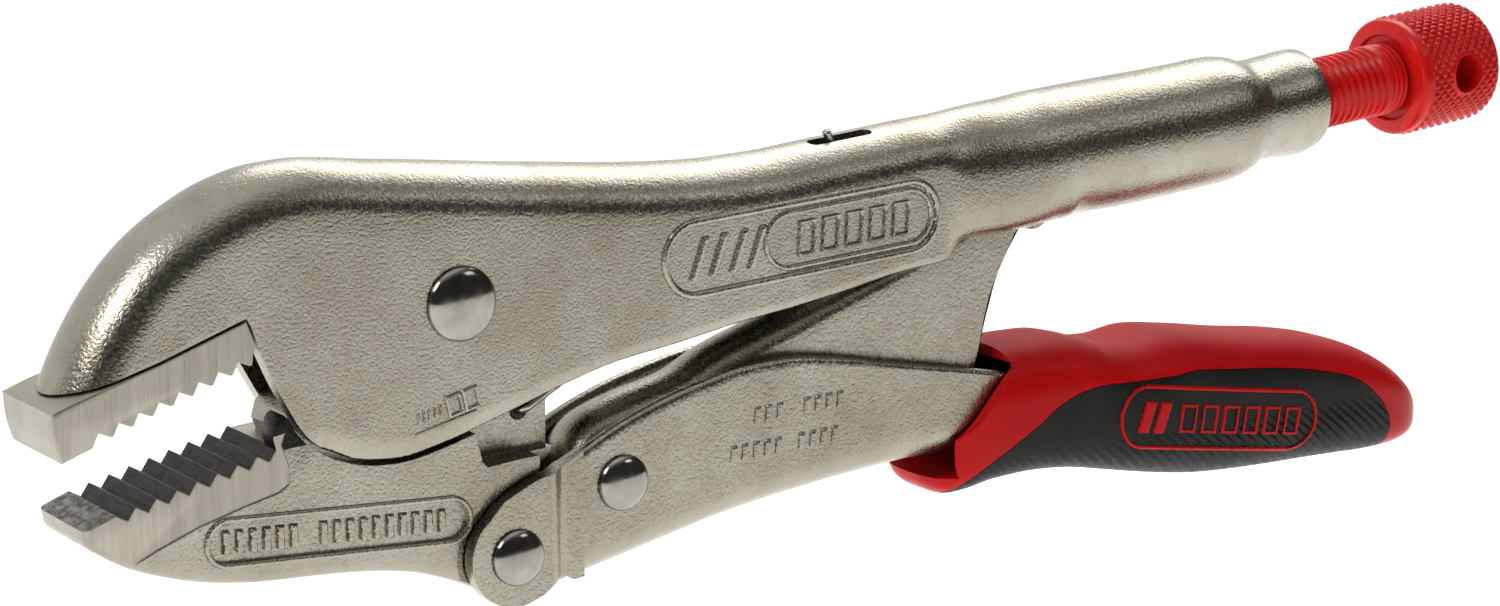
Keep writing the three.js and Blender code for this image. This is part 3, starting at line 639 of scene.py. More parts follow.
upper = channel("upper_sheet", UPPER_STATIONS, UPPER_WALL, roll=0.5)
cut(upper, prism("cut", JAW_SEAT, -THROUGH, THROUGH))
cut(upper, prism("cut", RIGHT_CHEEK_CUT, 0, THROUGH))
cut(upper, bevel(prism("cut", SPRING_SLOT, *SLOT_SIDES), 1.1,
                 lambda a, b: abs(a[0] - b[0]) < 0.01 and abs(a[1] - b[1]) < 0.01, 6))
bore = SCREW_RADIUS + 0.4
cut(upper, turned("cut", [(NECK_END - 17, 0), (NECK_END - 17, bore), (NECK_END - 0.7, bore),
                          (NECK_END + 1.5, bore + 1.5), (NECK_END + 1.5, 0)]))


def to_line(p, a, b):
    """Distance from p to the segment between a and b, in the side view."""
    a, b, p = np.array(a), np.array(b), np.array([p[0], p[2]])
    along = np.clip((p - a) @ (b - a) / ((b - a) @ (b - a)), 0, 1)
    return float(np.linalg.norm(p - a - along * (b - a)))


def on_seat(a, b):
    outer = all(abs(abs(p[1]) - UPPER_HALF) < 0.02 for p in (a, b)) and abs(a[1] - b[1]) < 0.01
    lines = list(zip(JAW_SEAT[1:-3], JAW_SEAT[2:-2]))
    return outer and all(min(to_line(p, *line) for line in lines) < 0.03 for p in (a, b))


bevel(upper, 0.55, on_seat, 4)
dressed(upper, NICKEL, "upper_body", "upper_handle")


# ---- jaws -------------------------------------------------------------------------------------
def teeth(first, angle_deg, corners):
    a = math.radians(angle_deg)
    points = []
    for i in range(TEETH):
        x, z = first[0] + i * TOOTH_PITCH * math.cos(a), first[1] + i * TOOTH_PITCH * math.sin(a)
        points += [(x + dx, z + dz) for dx, dz in corners]
    return points


FIXED_JAW = [
    *curved([(-58.3, -7.3), (-58.0, -10.6), (-57.1, -13.8)], 4), (-52.9, -12.3),
    *teeth((-52.1, -10.5), 19.1, [(0, 0), (1.55, -0.66), (1.95, -0.66)]),
    (-30.6, -3.0), (-30.2, -1.9), (-31.4, 1.3), (-43.5, -2.85), (-55.1, -6.15),
]
fixed = prism("fixed_jaw_block", FIXED_JAW, -JAW_HALF, JAW_HALF)
bevel(fixed, 0.28, lambda a, b: abs(abs(a[1]) - JAW_HALF) < 0.01 and abs(a[1] - b[1]) < 0.01
      and min(a[0], b[0]) < -52, 2)
dressed(fixed, GROUND, "upper_body", "fixed_jaw", smooth=25)

LOWER_EDGE = [
    (2.2, -39.9), (-0.9, -38.4), (-3.9, -37.2), (-6.9, -36.2), (-9.9, -35.5), (-18.8, -34.4), (-30.4, -33.7),
    (-38.9, -32.3), (-44.4, -30.6), (-48.5, -28.9), (-51.6, -27.0), (-54.0, -24.9), (-54.3, -23.2),
]
MOVING_JAW = [
    (-50.0, -21.6),
    *teeth((-48.35, -22.5), 13.8, [(0, 0), (1.1, 1.6), (1.22, 1.6)]),
    (-27.0, -16.3), (-23.1, -16.0),
    *curved([(-20.9, -17.6), (-18.6, -18.8), (-15.6, -19.8), (-12.6, -20.3), (-9.6, -20.4), (-3.5, -19.4),
             (2.5, -17.8)], 3),
    (11.0, -17.8), (11.8, -23.4), (11.4, -27.0),
    *arc(HANDLE_PIVOT, 4.8, 40, -100, 14),
    *curved(LOWER_EDGE, 4),
]
JAW_LUG = [
    (-27.2, -17.2), *curved([(-27.9, -14.8), (-27.5, -12.5), (-26.6, -11.6), (-25.9, -12.0), (-24.6, -14.2),
                             (-23.1, -16.0)], 3), (-22.0, -18.0),
]
MOVING_TAB = [
    (-25.0, -14.5), (-24.4, -12.4), (-14, -3.0), *arc((0, 0), 8.6, 155, 20, 14),
    (15.4, -5.0), (15.4, -22.6), (13.8, -24.0), (0, -30), (-22, -22),
]
HOOK_RECESS = [
    (1.3, -10.5), (1.6, -16.7), (2.9, -22.0), (3.7, -22.9), (8.0, -22.5), (18, -22.0), (18, -6.5),
    (9.5, -6.5),
]
EAR_CLEARANCE = [
    *arc(HANDLE_PIVOT, EAR_RADIUS + 1.2, 250, 112, 16),
    (7.2, -25.8), (10.4, -24.4), (16, -23.2), (16, -46), (4, -46),
]
GROUND_AREA = [
    (-60, -21), (-26.0, -14.0), (-26.7, -15.8), (-25.7, -18.8), (-25.8, -21.0), (-27.2, -21.9),
    (-31.5, -22.9),
    (-38.6, -24.8), (-44.3, -26.9), (-47.2, -28.2), (-50, -31), (-60, -31),
]
GROUND_DEPTH = 0.22


def outside(half):
    return (-THROUGH, -half), (half, THROUGH)


def on_lower_edge(a, b):
    """The two side edges of the forged jaw from the pivot boss round to its tip."""
    if abs(a[1] - b[1]) > 0.01 or abs(abs(a[1]) - MOVING_HALF) > 0.01:
        return False
    return all(p[2] < -24.5 and p[0] < 3 or p[2] < -20.9 and p[0] < -52 for p in (a, b))


moving = prism("movable_jaw_forging", MOVING_JAW, -MOVING_HALF, MOVING_HALF)
bevel(moving, 1.5, on_lower_edge, 5)
lug = bevel(prism("lug", JAW_LUG, -MOVING_HALF, -3.9), 0.35, lambda a, b: abs(a[1] - b[1]) < 0.01, 2)
join(moving, lug)
for low, high in outside(EAR_FIT_HALF):
    cut(moving, prism("cut", EAR_CLEARANCE, low, high))
join(moving, prism("tab", MOVING_TAB, -TAB_HALF, TAB_HALF))
for low, high in outside(HOOK_HALF):
    cut(moving, prism("cut", HOOK_RECESS, low, high))
for low, high in outside(MOVING_HALF - GROUND_DEPTH):
    cut(moving, prism("cut", GROUND_AREA, low, high))
cut(moving, bar("cut", SPRING_HOLE, 1.4, -THROUGH, THROUGH, 32))
PILL_JAW = {"from": (-34.7, -27.5), "to": (-2.2, -29.4), "radius": 2.65}


def pill_outline(pill, grow=0.0, steps=12):
    (x0, z0), (x1, z1), r = pill["from"], pill["to"], pill["radius"] + grow
    tilt = math.degrees(math.atan2(z1 - z0, x1 - x0))
    return arc((x1, z1), r, tilt - 90, tilt + 90, steps) + arc((x0, z0), r, tilt + 90, tilt + 270, steps)


PRESSED = 0.55
for low, high in outside(MOVING_HALF - PRESSED):
    cut(moving, prism("cut", pill_outline(PILL_JAW), low, high))


def jaw_material(c, n):
    x, y, z = c
    # Painted shade: the lug's faces get the near-black steel.
    if -28.4 < x < -21.6 and z > -17.4 and y < -3.7:
        return 2
    on_teeth = -50.2 < x < -26.6 and z > -23.2 and abs(n[1]) < 0.5
    if on_teeth and abs(y) < MOVING_HALF:
        line = -22.5 + (x + 48.35) * math.tan(math.radians(13.8))
        # Painted shade: the tooth flanks below the tips get the near-black steel; only the tips stay ground
        # steel.
        return 1 if z > line + 1.5 else 2
    if x < -49.9 and n[2] > 0.7:
        return 3
    in_ground_area = 7 < abs(y) < MOVING_HALF - GROUND_DEPTH + 0.02 and abs(n[1]) > 0.9 and x < -25
    return 1 if in_ground_area else 0


paint(moving, NICKEL, GROUND, PAINTED_SHADE_STEEL, BLACKENED, choose=jaw_material)
finish_piece(moving, "jaw_body", "satin_nickel", "movable_jaw", smooth=30)


# ---- pressed marks ----------------------------------------------------------------------------
def smooth(value, low, high):
    t = np.clip((value - low) / (high - low), 0, 1)
    return t * t * (3 - 2 * t)


def to_segment(u, v, length):
    """Distance from (u, v) to the segment from the origin along u."""
    along = np.clip(u, 0, length)
    return np.hypot(u - along, v)


BARE = -0.12  # a height that leaves the surface under a mark bare
SKIN_EDGE = -0.09
SKIN_ROOT = -0.35


def highest(*heights):
    return np.maximum.reduce(heights)


def raised(h, base):
    """The part of h above base, and bare elsewhere."""
    return np.where(h > base, h - base, BARE)


def ridge(distance, half_width, height):
    return height * (1 - smooth(np.abs(distance), half_width * 0.35, half_width))


def slanted_bars(u, v, places, half_width, half_height, height, slant=0.25, outline=False):
    """Raised bars across a panel, solid or as outlines, which stand for its lettering."""
    total = np.zeros_like(u)
    for place in places:
        du = np.abs(u - place - slant * v) - half_width
        dv = np.abs(v) - half_height
        distance = np.maximum(du, dv)
        if outline:
            total = np.maximum(total, ridge(distance, 0.38, height))
        else:
            total = np.maximum(total, height * (1 - smooth(distance, -0.22, 0.12)))
    return total


def relief(name, surface, u_range, v_range, height, body, material, step=0.24):
    """A thin raised skin over a surface. surface(u, v, h) gives points, height(u, v) the relief."""
    us = np.arange(u_range[0], u_range[1] + step, step)
    vs = np.arange(v_range[0], v_range[1] + step, step)
    u, v = np.meshgrid(us, vs, indexing="ij")
    h = height(u, v)
    keep = h > SKIN_EDGE
    top = surface(u, v, h)
    low = surface(u, v, np.full_like(h, SKIN_ROOT))
    index, points, faces = {}, [], []

    def vertex(i, j, level):
        key = (i, j, level)
        if key not in index:
            index[key] = len(points)
            points.append((top if level else low)[i, j])
        return index[key]

    cells = keep[:-1, :-1] & keep[1:, :-1] & keep[1:, 1:] & keep[:-1, 1:]
    for i, j in zip(*np.nonzero(cells)):
        corners = [(i, j), (i + 1, j), (i + 1, j + 1), (i, j + 1)]
        faces.append(tuple(vertex(*c, 1) for c in corners))
        faces.append(tuple(vertex(*c, 0) for c in reversed(corners)))
        for k, (di, dj) in enumerate([(0, -1), (1, 0), (0, 1), (-1, 0)]):
            ni, nj = i + di, j + dj
            if not (0 <= ni < cells.shape[0] and 0 <= nj < cells.shape[1] and cells[ni, nj]):
                a, b = corners[k], corners[(k + 1) % 4]
                faces.append((vertex(*b, 1), vertex(*a, 1), vertex(*a, 0), vertex(*b, 0)))
    obj = make(name, points, faces)
    dressed(obj, material, body, smooth=60)


def on_side(origin, tilt_deg, y):
    """A surface function for a flat side at y, with u along a tilted line from origin."""
    c, s = math.cos(math.radians(tilt_deg)), math.sin(math.radians(tilt_deg))
    away = -1 if y < 0 else 1

    def surface(u, v, h):
        return np.stack([origin[0] + u * c - v * s, y + away * h, origin[1] + u * s + v * c], -1)
    return surface


def pill_frame(pill):
    (x0, z0), (x1, z1) = pill["from"], pill["to"]
    return math.hypot(x1 - x0, z1 - z0), math.degrees(math.atan2(z1 - z0, x1 - x0))


PILL_UPPER = {"from": (37.1, 2.05), "to": (73.4, 4.3), "radius": 5.15}
length, tilt = pill_frame(PILL_UPPER)


def upper_mark(u, v):
    d = to_segment(u, v, length) - PILL_UPPER["radius"]
    inner = to_segment(u - 15.5, v, length - 15.5) - 3.9
    frames = slanted_bars(u, v, np.arange(18.5, 36.5, 4.1), 1.25, 2.3, 0.5, 0.12, outline=True)
    strokes = slanted_bars(u, v, (0.4, 3.6, 7.0, 10.0), 0.62, 3.0, 0.48, 0.45)
    return raised(highest(ridge(d, 0.72, 0.5), ridge(inner, 0.55, 0.4), frames, strokes), 0.03)


for side, body_y in (("left", -UPPER_HALF), ("right", UPPER_HALF)):
    relief(f"upper_panel_{side}", on_side(PILL_UPPER["from"], tilt, body_y),
           (-6.2, length + 6.2), (-6.2, 6.2), upper_mark, "upper_body", NICKEL)

length_jaw, tilt_jaw = pill_frame(PILL_JAW)


def jaw_mark(u, v):
    places = np.concatenate([np.arange(-0.2, 11.5, 1.95), np.arange(13.9, 32.9, 1.95)])
    bars = slanted_bars(u, v, places, 0.58, 1.6, 0.62, -0.06)
    return np.where(bars > 0.02, bars, BARE)


def jaw_rim(u, v):
    d = to_segment(u, v, length_jaw) - PILL_JAW["radius"]
    return np.where(np.abs(d - 0.42) < 0.45, ridge(d - 0.42, 0.6, 0.5) - 0.1, BARE)


for side, sign in (("left", -1), ("right", 1)):
    relief(f"jaw_panel_{side}", on_side(PILL_JAW["from"], tilt_jaw, sign * (MOVING_HALF - PRESSED)),
           (-3.4, length_jaw + 3.4), (-3.4, 3.4), jaw_mark, "jaw_body", NICKEL)
    relief(f"jaw_panel_rim_{side}", on_side(PILL_JAW["from"], tilt_jaw, sign * MOVING_HALF),
           (-3.9, length_jaw + 3.9), (-3.9, 3.9), jaw_rim, "jaw_body", NICKEL, step=0.18)


def small_mark(u, v):
    dashes = slanted_bars(u, v - 1.9, np.arange(1.0, 4.6, 0.85), 0.2, 0.75, 0.34, 0.1)
    frames = slanted_bars(u, v - 1.9, (6.6, 9.2), 0.95, 1.3, 0.4, 0.0, outline=True)
    line = slanted_bars(u, v, (4.7,), 4.9, 0.22, 0.2, 0.0)
    return raised(highest(dashes, frames, line), 0.02)


relief("cheek_mark", on_side((-7.3, -16.9), 13.0, -UPPER_HALF), (-0.6, 11), (-0.7, 3.8), small_mark,
       "upper_body", NICKEL, step=0.16)


def handle_marks(u, v):
    upper_row = np.concatenate([np.arange(5.0, 10.5, 1.9), np.arange(13.5, 19.5, 1.9)])
    lower_row = np.concatenate([np.arange(0.8, 9.5, 1.9), np.arange(12.4, 18.5, 1.9)])
    above = slanted_bars(u, v - 2.6, upper_row, 0.5, 1.2, 0.4, 0.1)
    below = slanted_bars(u, v + 2.4, lower_row, 0.5, 1.2, 0.4, 0.1)
    return raised(highest(above, below), 0.02)


relief("handle_mark", on_side((42.2, -24.2), 2.0, -LOWER_HALF), (-0.5, 20.5), (-4.2, 4.2), handle_marks,
       "lower_body", NICKEL, step=0.17)


# ---- lower handle -----------------------------------------------------------------------------
LOWER_CROWN = 4.6
LOWER_ROWS = [
    (16.8, -42.2, 16.8, -23.4), (25.0, -40.5, 24.4, -19.7),
    (34.0, -38.6, 32.5, -16.9), (41.5, -37.0, 39.0, -15.3),
    (49.0, -35.8, 45.5, -14.1), (57.0, -34.8, 52.5, -13.8),
    (66.0, -33.9, 61.0, -14.8), (76.0, -33.2, 71.0, -16.8),
    (87.0, -33.0, 83.0, -19.1), (99.0, -33.6, 96.0, -21.8),
    (109.0, -34.6, 107.0, -24.0), (118.0, -35.8, 117.5, -26.2),
]
LOWER_STATIONS = [station(*row, LOWER_HALF, LOWER_CROWN) for row in LOWER_ROWS]
EAR_OUTLINE = [
    *arc(HANDLE_PIVOT, EAR_RADIUS, 285, 128, 28),
    *curved([(4.9, -27.6), (7.8, -26.2), (10.9, -25.0), (14.6, -24.3), (18.5, -22.6)], 3), (18.5, -40.4),
    *curved([(16.8, -40.6), (14.8, -39.6), (13.0, -40.2), (11.2, -41.4)], 3),
]
EAR_PLAN = [
    (-2, -EAR_OUT), *curved([(12.4, -EAR_OUT), (13.3, -9.35), (14.7, -8.3), (15.8, -LOWER_HALF)], 3),
    (18.5, -LOWER_HALF), (18.5, LOWER_WALL - LOWER_HALF), (14.7, LOWER_WALL - LOWER_HALF),
    (12.3, LOWER_WALL - EAR_OUT), (-2, LOWER_WALL - EAR_OUT),
]


def block(name, plan, low, high):
    """A plan outline as a block between two Z levels."""
    return between(name, [(x, y, low) for x, y in plan], [(x, y, high) for x, y in plan])


lower = channel("lower_sheet", LOWER_STATIONS, LOWER_WALL, -1, roll=0.9)
for side in (1, -1):
    ear = block("ear", [(x, side * y) for x, y in EAR_PLAN], -50, -15)
    boolean(ear, prism("cut", EAR_OUTLINE, -THROUGH, THROUGH), "INTERSECT")
    join(lower, ear)
dressed(lower, NICKEL, "lower_body", "lower_handle")


# ---- toggle link ------------------------------------------------------------------------------
LINK_CROWN = 3.2
LINK_ROWS = [
    (19.6, -32.6, 24.5, -32.4), (17.9, -28.4, 26.0, -32.6),
    (18.4, -23.8, 27.6, -32.4), (21.4, -20.0, 30.0, -31.8),
    (26.5, -17.9, 34.0, -30.6), (37.5, -15.2, 42.0, -28.6),
    (43.5, -12.4, 49.0, -27.4), (53.0, -9.3, 58.0, -26.2),
    (64.0, -5.6, 68.0, -24.8), (76.0, -1.6, 78.0, -23.6),
    (86.0, 2.5, 84.6, -22.6), (91.5, 4.8, 87.4, -20.6),
    (95.0, 6.1, 89.9, -10.6), (98.5, 7.0, 94.4, -1.2),
]
LINK_STATIONS = [station(*row, LINK_HALF, LINK_CROWN) for row in LINK_ROWS]
link = channel("link_sheet", LINK_STATIONS, LINK_WALL, roll=0.6)
join(link, bar("thrust", THRUST_END, THRUST_RADIUS, -LINK_HALF, LINK_HALF))
dressed(link, NICKEL, "link_body", "toggle_link")


# ---- rivets -----------------------------------------------------------------------------------
def rivet(name, centre, shank, head_radius, head_height, face, body, node):
    dome = [(math.sin(a), math.cos(a)) for a in np.linspace(0, math.pi / 2, 12)]
    gap = 0.18
    profile = [(face + gap + h * head_height, r * head_radius) for r, h in dome]
    profile += [(face + gap, head_radius), (face + gap, shank)]
    profile = profile + [(-y, r) for y, r in reversed(profile)]
    sides = 56
    points = [(centre[0], profile[0][0], centre[1]), (centre[0], profile[-1][0], centre[1])]
    inner = profile[1:-1]
    for y, r in inner:
        points += [(centre[0] + r * math.cos(2 * math.pi * k / sides), y,
                    centre[1] + r * math.sin(2 * math.pi * k / sides)) for k in range(sides)]
    faces = []
    last = 2 + (len(inner) - 1) * sides
    for k in range(sides):
        n = (k + 1) % sides
        faces += [(0, 2 + k, 2 + n), (1, last + n, last + k)]
        faces += [(2 + i * sides + k, 2 + (i + 1) * sides + k, 2 + (i + 1) * sides + n, 2 + i * sides + n)
                  for i in range(len(inner) - 1)]
    obj = make(name, points, faces)
    dressed(obj, POLISHED, body, node, smooth=50)


rivet("rivet_main", (0, 0), 2.95, 5.15, 1.75, UPPER_HALF, "upper_body", "main_rivet")
rivet("rivet_handle", HANDLE_PIVOT, 2.45, 3.95, 1.55, EAR_OUT, "lower_body", "handle_rivet")
rivet("rivet_link", LINK_PIVOT, 2.45, 3.95, 1.55, LOWER_HALF, "lower_body", "link_rivet")


# ---- screw and knob ---------------------------------------------------------------------------
def threaded(name, start, end, thread_end, sides=72, per_turn=8):
    """The screw's shank with its helical thread, and plain collar rings behind it."""
    steps = int((end - start) / PITCH * per_turn)
    rings = []
    for i in range(steps + 1):
        s = start + (end - start) * i / steps
        ring = []
        for k in range(sides):
            turn = k / sides
            if s < thread_end:
                phase = (s / PITCH - turn) % 1.0
                crest = 1 - abs(2 * phase - 1)
                depth = 0.72 * (1 - smooth(crest, 0.12, 0.88))
                fade = smooth(s, thread_end - 0.8, thread_end)
                radius = SCREW_RADIUS - depth * (1 - fade)
            else:
                wave = 0.5 + 0.5 * math.cos((s - thread_end) * 2 * math.pi / 1.05)
                radius = SCREW_RADIUS + 0.1 - 0.28 * (1 - wave)
            ring.append(on_screw(s, float(radius), 2 * math.pi * turn))
        rings.append(ring)
    return make(name, *closed_skin(rings))


screw = threaded("screw_thread", 104.4, KNOB_START - 0.3, KNOB_START - 3.4)
dressed(screw, COATING, "screw_body", "adjusting_screw", smooth=80)

KNURL_SIDES = 36
KNURL_START, KNURL_END = 1.9, KNOB_LENGTH - 1.7
KNURL_DEPTH = 0.5


def knob_radius(s, angle):
    """The knob's radius at s from its front face: smooth rim, diamond knurl, rounded rear."""
    r = KNOB_RADIUS
    if s < 0.9:
        return r - 0.25 - 0.9 * (1 - math.sqrt(max(0.0, 1 - (1 - s / 0.9) ** 2)))
    if s < KNURL_START:
        return r - 0.25
    rear = max(0.0, (s - (KNOB_LENGTH - 2.4)) / 2.4)
    round_off = 2.2 * (1 - math.sqrt(max(0.0, 1 - min(rear, 0.98) ** 2)))
    pitch = 2 * math.pi * r / KNURL_SIDES
    a = (s - KNURL_START) / pitch
    b = angle * KNURL_SIDES / (2 * math.pi)
    one = abs(((a + b) % 1.0) * 2 - 1)
    two = abs(((a - b) % 1.0) * 2 - 1)
    height = min(min(one, two) * 1.9, 1.0)
    at_hole = math.hypot(s - KNOB_HOLE_AT, r * math.sin(angle))
    ends = smooth(s, KNURL_START, KNURL_START + 0.5) * (1 - smooth(s, KNURL_END, KNURL_END + 1.2))
    plain = 1 - smooth(at_hole, KNOB_HOLE_RADIUS + 0.2, KNOB_HOLE_RADIUS + 0.8)
    return r - round_off - KNURL_DEPTH * (1 - height) * float(ends) * (1 - float(plain)) - 0.12 * float(plain)


def knob():
    sides, steps = KNURL_SIDES * 8, 92
    rings = []
    for i in range(steps + 1):
        s = KNOB_LENGTH * i / steps
        angles = [2 * math.pi * k / sides for k in range(sides)]
        rings.append([on_screw(KNOB_START + s, knob_radius(s, a), a) for a in angles])
    return make("knob_knurled", *closed_skin(rings))


knob_obj = knob()
recess = 0.7
cut(knob_obj, turned("cut", [(KNOB_START - 1, 0), (KNOB_START - 1, KNOB_RADIUS - 2.2),
                             (KNOB_START + recess, KNOB_RADIUS - 2.9), (KNOB_START + recess, 0)]))
cut(knob_obj, turned("cut", [(KNOB_START - 1, 0), (KNOB_START - 1, 3.85), (KNOB_START + 5.85, 3.85),
                             (KNOB_START + 5.85, 0)]))
hole_x = KNOB_START + KNOB_HOLE_AT
hole_centre = (hole_x, screw_axis_at(hole_x))
cut(knob_obj, bar("cut", hole_centre, KNOB_HOLE_RADIUS, -THROUGH, THROUGH, 64))
dressed(knob_obj, COATING, "screw_body", "adjusting_knob", smooth=42)


# ---- springs and lever ------------------------------------------------------------------------
def tube(name, path, radius, sides=12):
    """A round wire along a path of points in millimetres."""
    path = np.array(path, float)
    tangents = np.gradient(path, axis=0)
    tangents /= np.linalg.norm(tangents, axis=1)[:, None]
    up = np.array([0.0, 1.0, 0.0])
    rings = []
    for p, t in zip(path, tangents):
        up = up - t * (up @ t)
        up /= np.linalg.norm(up)
        side_way = np.cross(t, up)
        rings.append([p + radius * (math.cos(a) * up + math.sin(a) * side_way)
                      for a in np.linspace(0, 2 * math.pi, sides, endpoint=False)])
    return make(name, *closed_skin(rings))


def return_spring():
    run = np.array([SPRING_ANCHOR[0] - SPRING_HOLE[0], SPRING_ANCHOR[1] - SPRING_HOLE[1]])
    length_all = float(np.linalg.norm(run))
    e = run / length_all
    n = np.array([-e[1], e[0]])

    def along(s, y, lift=0.0):
        x, z = np.array(SPRING_HOLE) + e * s + n * lift
        return (x, y, z)

    start, end = 13.0, length_all - 8.0
    w = SPRING_WIRE / 2
    r = SPRING_RADIUS - w
    beside = HOOK_HALF + w + 0.3
    first = refined([along(3.4, beside), along(1.0, beside), along(0, HOOK_HALF), along(0, -HOOK_HALF),
                     along(1.2, -beside), along(8.5, -beside), along(start - 1.5, -r), along(start, -r)], 8)
    turns = (end - start) / (SPRING_WIRE * 1.03)
    coil = [along(start + (end - start) * k / (turns * 18), -r * math.cos(2 * math.pi * k / 18),
                  r * math.sin(2 * math.pi * k / 18)) for k in range(1, int(turns * 18))]
    in_slot = (SLOT_SIDES[0] + SLOT_SIDES[1]) / 2
    ax, az = SPRING_ANCHOR
    last = refined([coil[-1], along(end + 1.0, -r * 0.8), (ax - 2.4, in_slot, az - 1.6),
                    (ax - 1.4, in_slot, az + 1.4), (ax - 2.2, in_slot, az + 3.6)], 6)
    return tube("spring_return", np.vstack([first, coil, last[1:]]), w)


spring = return_spring()
paint(spring, SPRING)
spring.data.shade_smooth()
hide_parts("return_spring")
tuple(framed([18.0, 0, -12.0]))
tuple(framed([60.0, 0, 10.0]))
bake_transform(spring)

for node in ("release_lever", "release_pin", "release_spring", "screw_stop_ring"):
    NODES[node].data.materials.clear()
    NODES[node].data.materials.append(SPRING)

# ---- grip -------------------------------------------------------------------------------------
GRIP_STATIONS = [
    (79.2, -31.0, -35.8, 3.2), (79.9, -28.0, -37.4, 5.8), (81.1, -24.5, -38.5, 7.8),
    (82.9, -21.0, -39.1, 9.2),
    (85, -18.8, -38.9, 10.0), (90, -17.8, -38.0, 10.5), (97, -17.6, -37.6, 10.8), (104, -17.7, -38.0, 11.0),
    (108.5, -18.6, -38.7, 11.2), (113, -19.9, -39.6, 11.3), (117.5, -20.1, -40.5, 11.4),
    (124, -19.3, -41.7, 11.5),
    (131, -20.1, -42.6, 11.5), (142, -21.9, -43.1, 11.4), (153, -23.4, -43.3, 11.1),
    (160, -24.9, -43.5, 10.7),
    (165.5, -27.0, -43.7, 10.1), (170.5, -29.8, -43.6, 9.2), (174.6, -33.0, -43.0, 7.6),
    (177.2, -35.8, -41.9, 5.3),
    (178.6, -37.7, -40.4, 2.4),
]
SQUARENESS = 0.62
GRIP_SIDES = 72
GRIP_FINE = refined(GRIP_STATIONS, 5)
GRIP_MOUTH = [
    (60, -10), (92.0, -10), *curved([(91.8, -20.3), (89.7, -22.4), (87.6, -24.8), (85.2, -27.4),
    (81.6, -30.0),
                                     (77.1, -31.9)], 3), (60, -34.5),
]
GRIP_CAVITY = [
    (60, -10), (91.9, -19.4), (96, -20.0), (107, -21.4), (119.2, -23.6), (119.2, -36.8), (109, -35.2),
    (99, -34.8), (87, -35.5), (76, -36.1), (60, -37),
]
INLAY = [
    *curved([(80.6, -39.8), (84.9, -35.7), (90.3, -32.2), (95.9, -28.9), (99.6, -26.5),
             (103.6, -25.0), (108, -24.5),
             (115, -24.8), (121, -24.8), (126, -24.5), (131, -25.0), (154, -28.4), (159.5, -30.2),
             (164, -33.2),
             (167, -36.6), (168, -39.4), (167.4, -46)], 4),
    (120, -46), (80, -46),
]
INLAY_DEPTH = 1.3
GAP = 0.35


def grip_body(name, offset):
    rings = []
    for i, (x, top, bottom, half) in enumerate(GRIP_FINE):
        ends = -1 if i == 0 else 1 if i == len(GRIP_FINE) - 1 else 0
        middle, height = (top + bottom) / 2, (top - bottom) / 2 + offset
        ring = []
        for k in range(GRIP_SIDES):
            a = 2 * math.pi * k / GRIP_SIDES
            c, s = math.cos(a), math.sin(a)
            ring.append((x + ends * offset, (half + offset) * math.copysign(abs(c) ** SQUARENESS, c),
                         middle + height * math.copysign(abs(s) ** SQUARENESS, s)))
        rings.append(ring)
    return make(name, *closed_skin(rings))


def grown(outline, distance):
    """The outline moved outwards by a distance, each corner along its bisector."""
    out = []
    for i, p in enumerate(outline):
        a, b = outline[i - 1], outline[(i + 1) % len(outline)]
        u = np.array([p[0] - a[0], p[1] - a[1]], float)
        v = np.array([b[0] - p[0], b[1] - p[1]], float)
        u /= np.linalg.norm(u)
        v /= np.linalg.norm(v)
        n = np.array([-(u[1] + v[1]), u[0] + v[0]])
        n /= np.linalg.norm(n)
        n *= distance / max(0.4, math.cos(math.acos(np.clip(u @ v, -1, 1)) / 2))
        out.append((p[0] + n[0], p[1] + n[1]))
    return out


def inlay_prism(side, growth):
    rib = 2.2 - growth
    low, high = (-THROUGH, -rib) if side < 0 else (rib, THROUGH)
    return prism("inlay_prism", grown(INLAY, growth), low, high)


grip = grip_body("grip_red", 0)
for side in (-1, 1):
    pocket = inlay_prism(side, 0.12)
    cut(pocket, grip_body("core", -INLAY_DEPTH - GAP))
    cut(grip, pocket)
cut(grip, prism("cut", GRIP_MOUTH, -THROUGH, THROUGH))
cut(grip, prism("cut", GRIP_CAVITY, -LOWER_HALF - 0.4, LOWER_HALF + 0.4))
dressed(grip, RED, "grip_body", "grip_shell", smooth=40)

for side, name in ((-1, "left"), (1, "right")):
    inlay = boolean(grip_body(f"inlay_{name}", 0.0), inlay_prism(side, 0.0), "INTERSECT")
    cut(inlay, grip_body("core", -INLAY_DEPTH))
    dressed(inlay, BLACK, "grip_body", f"grip_inlay_{name}", smooth=40)

# A raised badge on each inlay: a frame with plain bars in it.
PILL_GRIP = {"from": (115.6, -30.3), "to": (145.6, -34.9), "radius": 4.7}
length_grip, tilt_grip = pill_frame(PILL_GRIP)


def on_grip(side):
    """A surface function over the grip's side, with u along the badge from its front end."""
    c, s = math.cos(math.radians(tilt_grip)), math.sin(math.radians(tilt_grip))

    def surface(u, v, h):
        x = PILL_GRIP["from"][0] + u * c - v * s
        z = PILL_GRIP["from"][1] + u * s + v * c
        top, bottom, half = (np.interp(x, GRIP_FINE[:, 0], GRIP_FINE[:, k]) for k in (1, 2, 3))
        share = np.clip(np.abs(z - (top + bottom) / 2) / ((top - bottom) / 2), 0, 0.999)
        across = np.sqrt(1 - share ** (2 / SQUARENESS)) ** SQUARENESS
        return np.stack([x, side * (half * across + h), z], -1)
    return surface


def grip_mark(u, v):
    edge = ridge(to_segment(u, v, length_grip) - PILL_GRIP["radius"], 0.42, 0.3)
    strokes = slanted_bars(u, v, (0.2, 3.2), 1.1, 2.5, 0.3, 0.2)
    frames = slanted_bars(u, v, np.arange(8.4, 30.5, 4.3), 1.35, 2.0, 0.26, 0.0, outline=True)
    return raised(highest(edge, strokes, frames), 0.04)


for side, name in ((-1, "left"), (1, "right")):
    relief(f"badge_{name}", on_grip(side), (-5.6, length_grip + 5.6), (-5.6, 5.6), grip_mark, "grip_body",
           RED, step=0.2)

# ---- floor, light and camera ------------------------------------------------------------------
scene.view_settings.view_transform = "Standard"

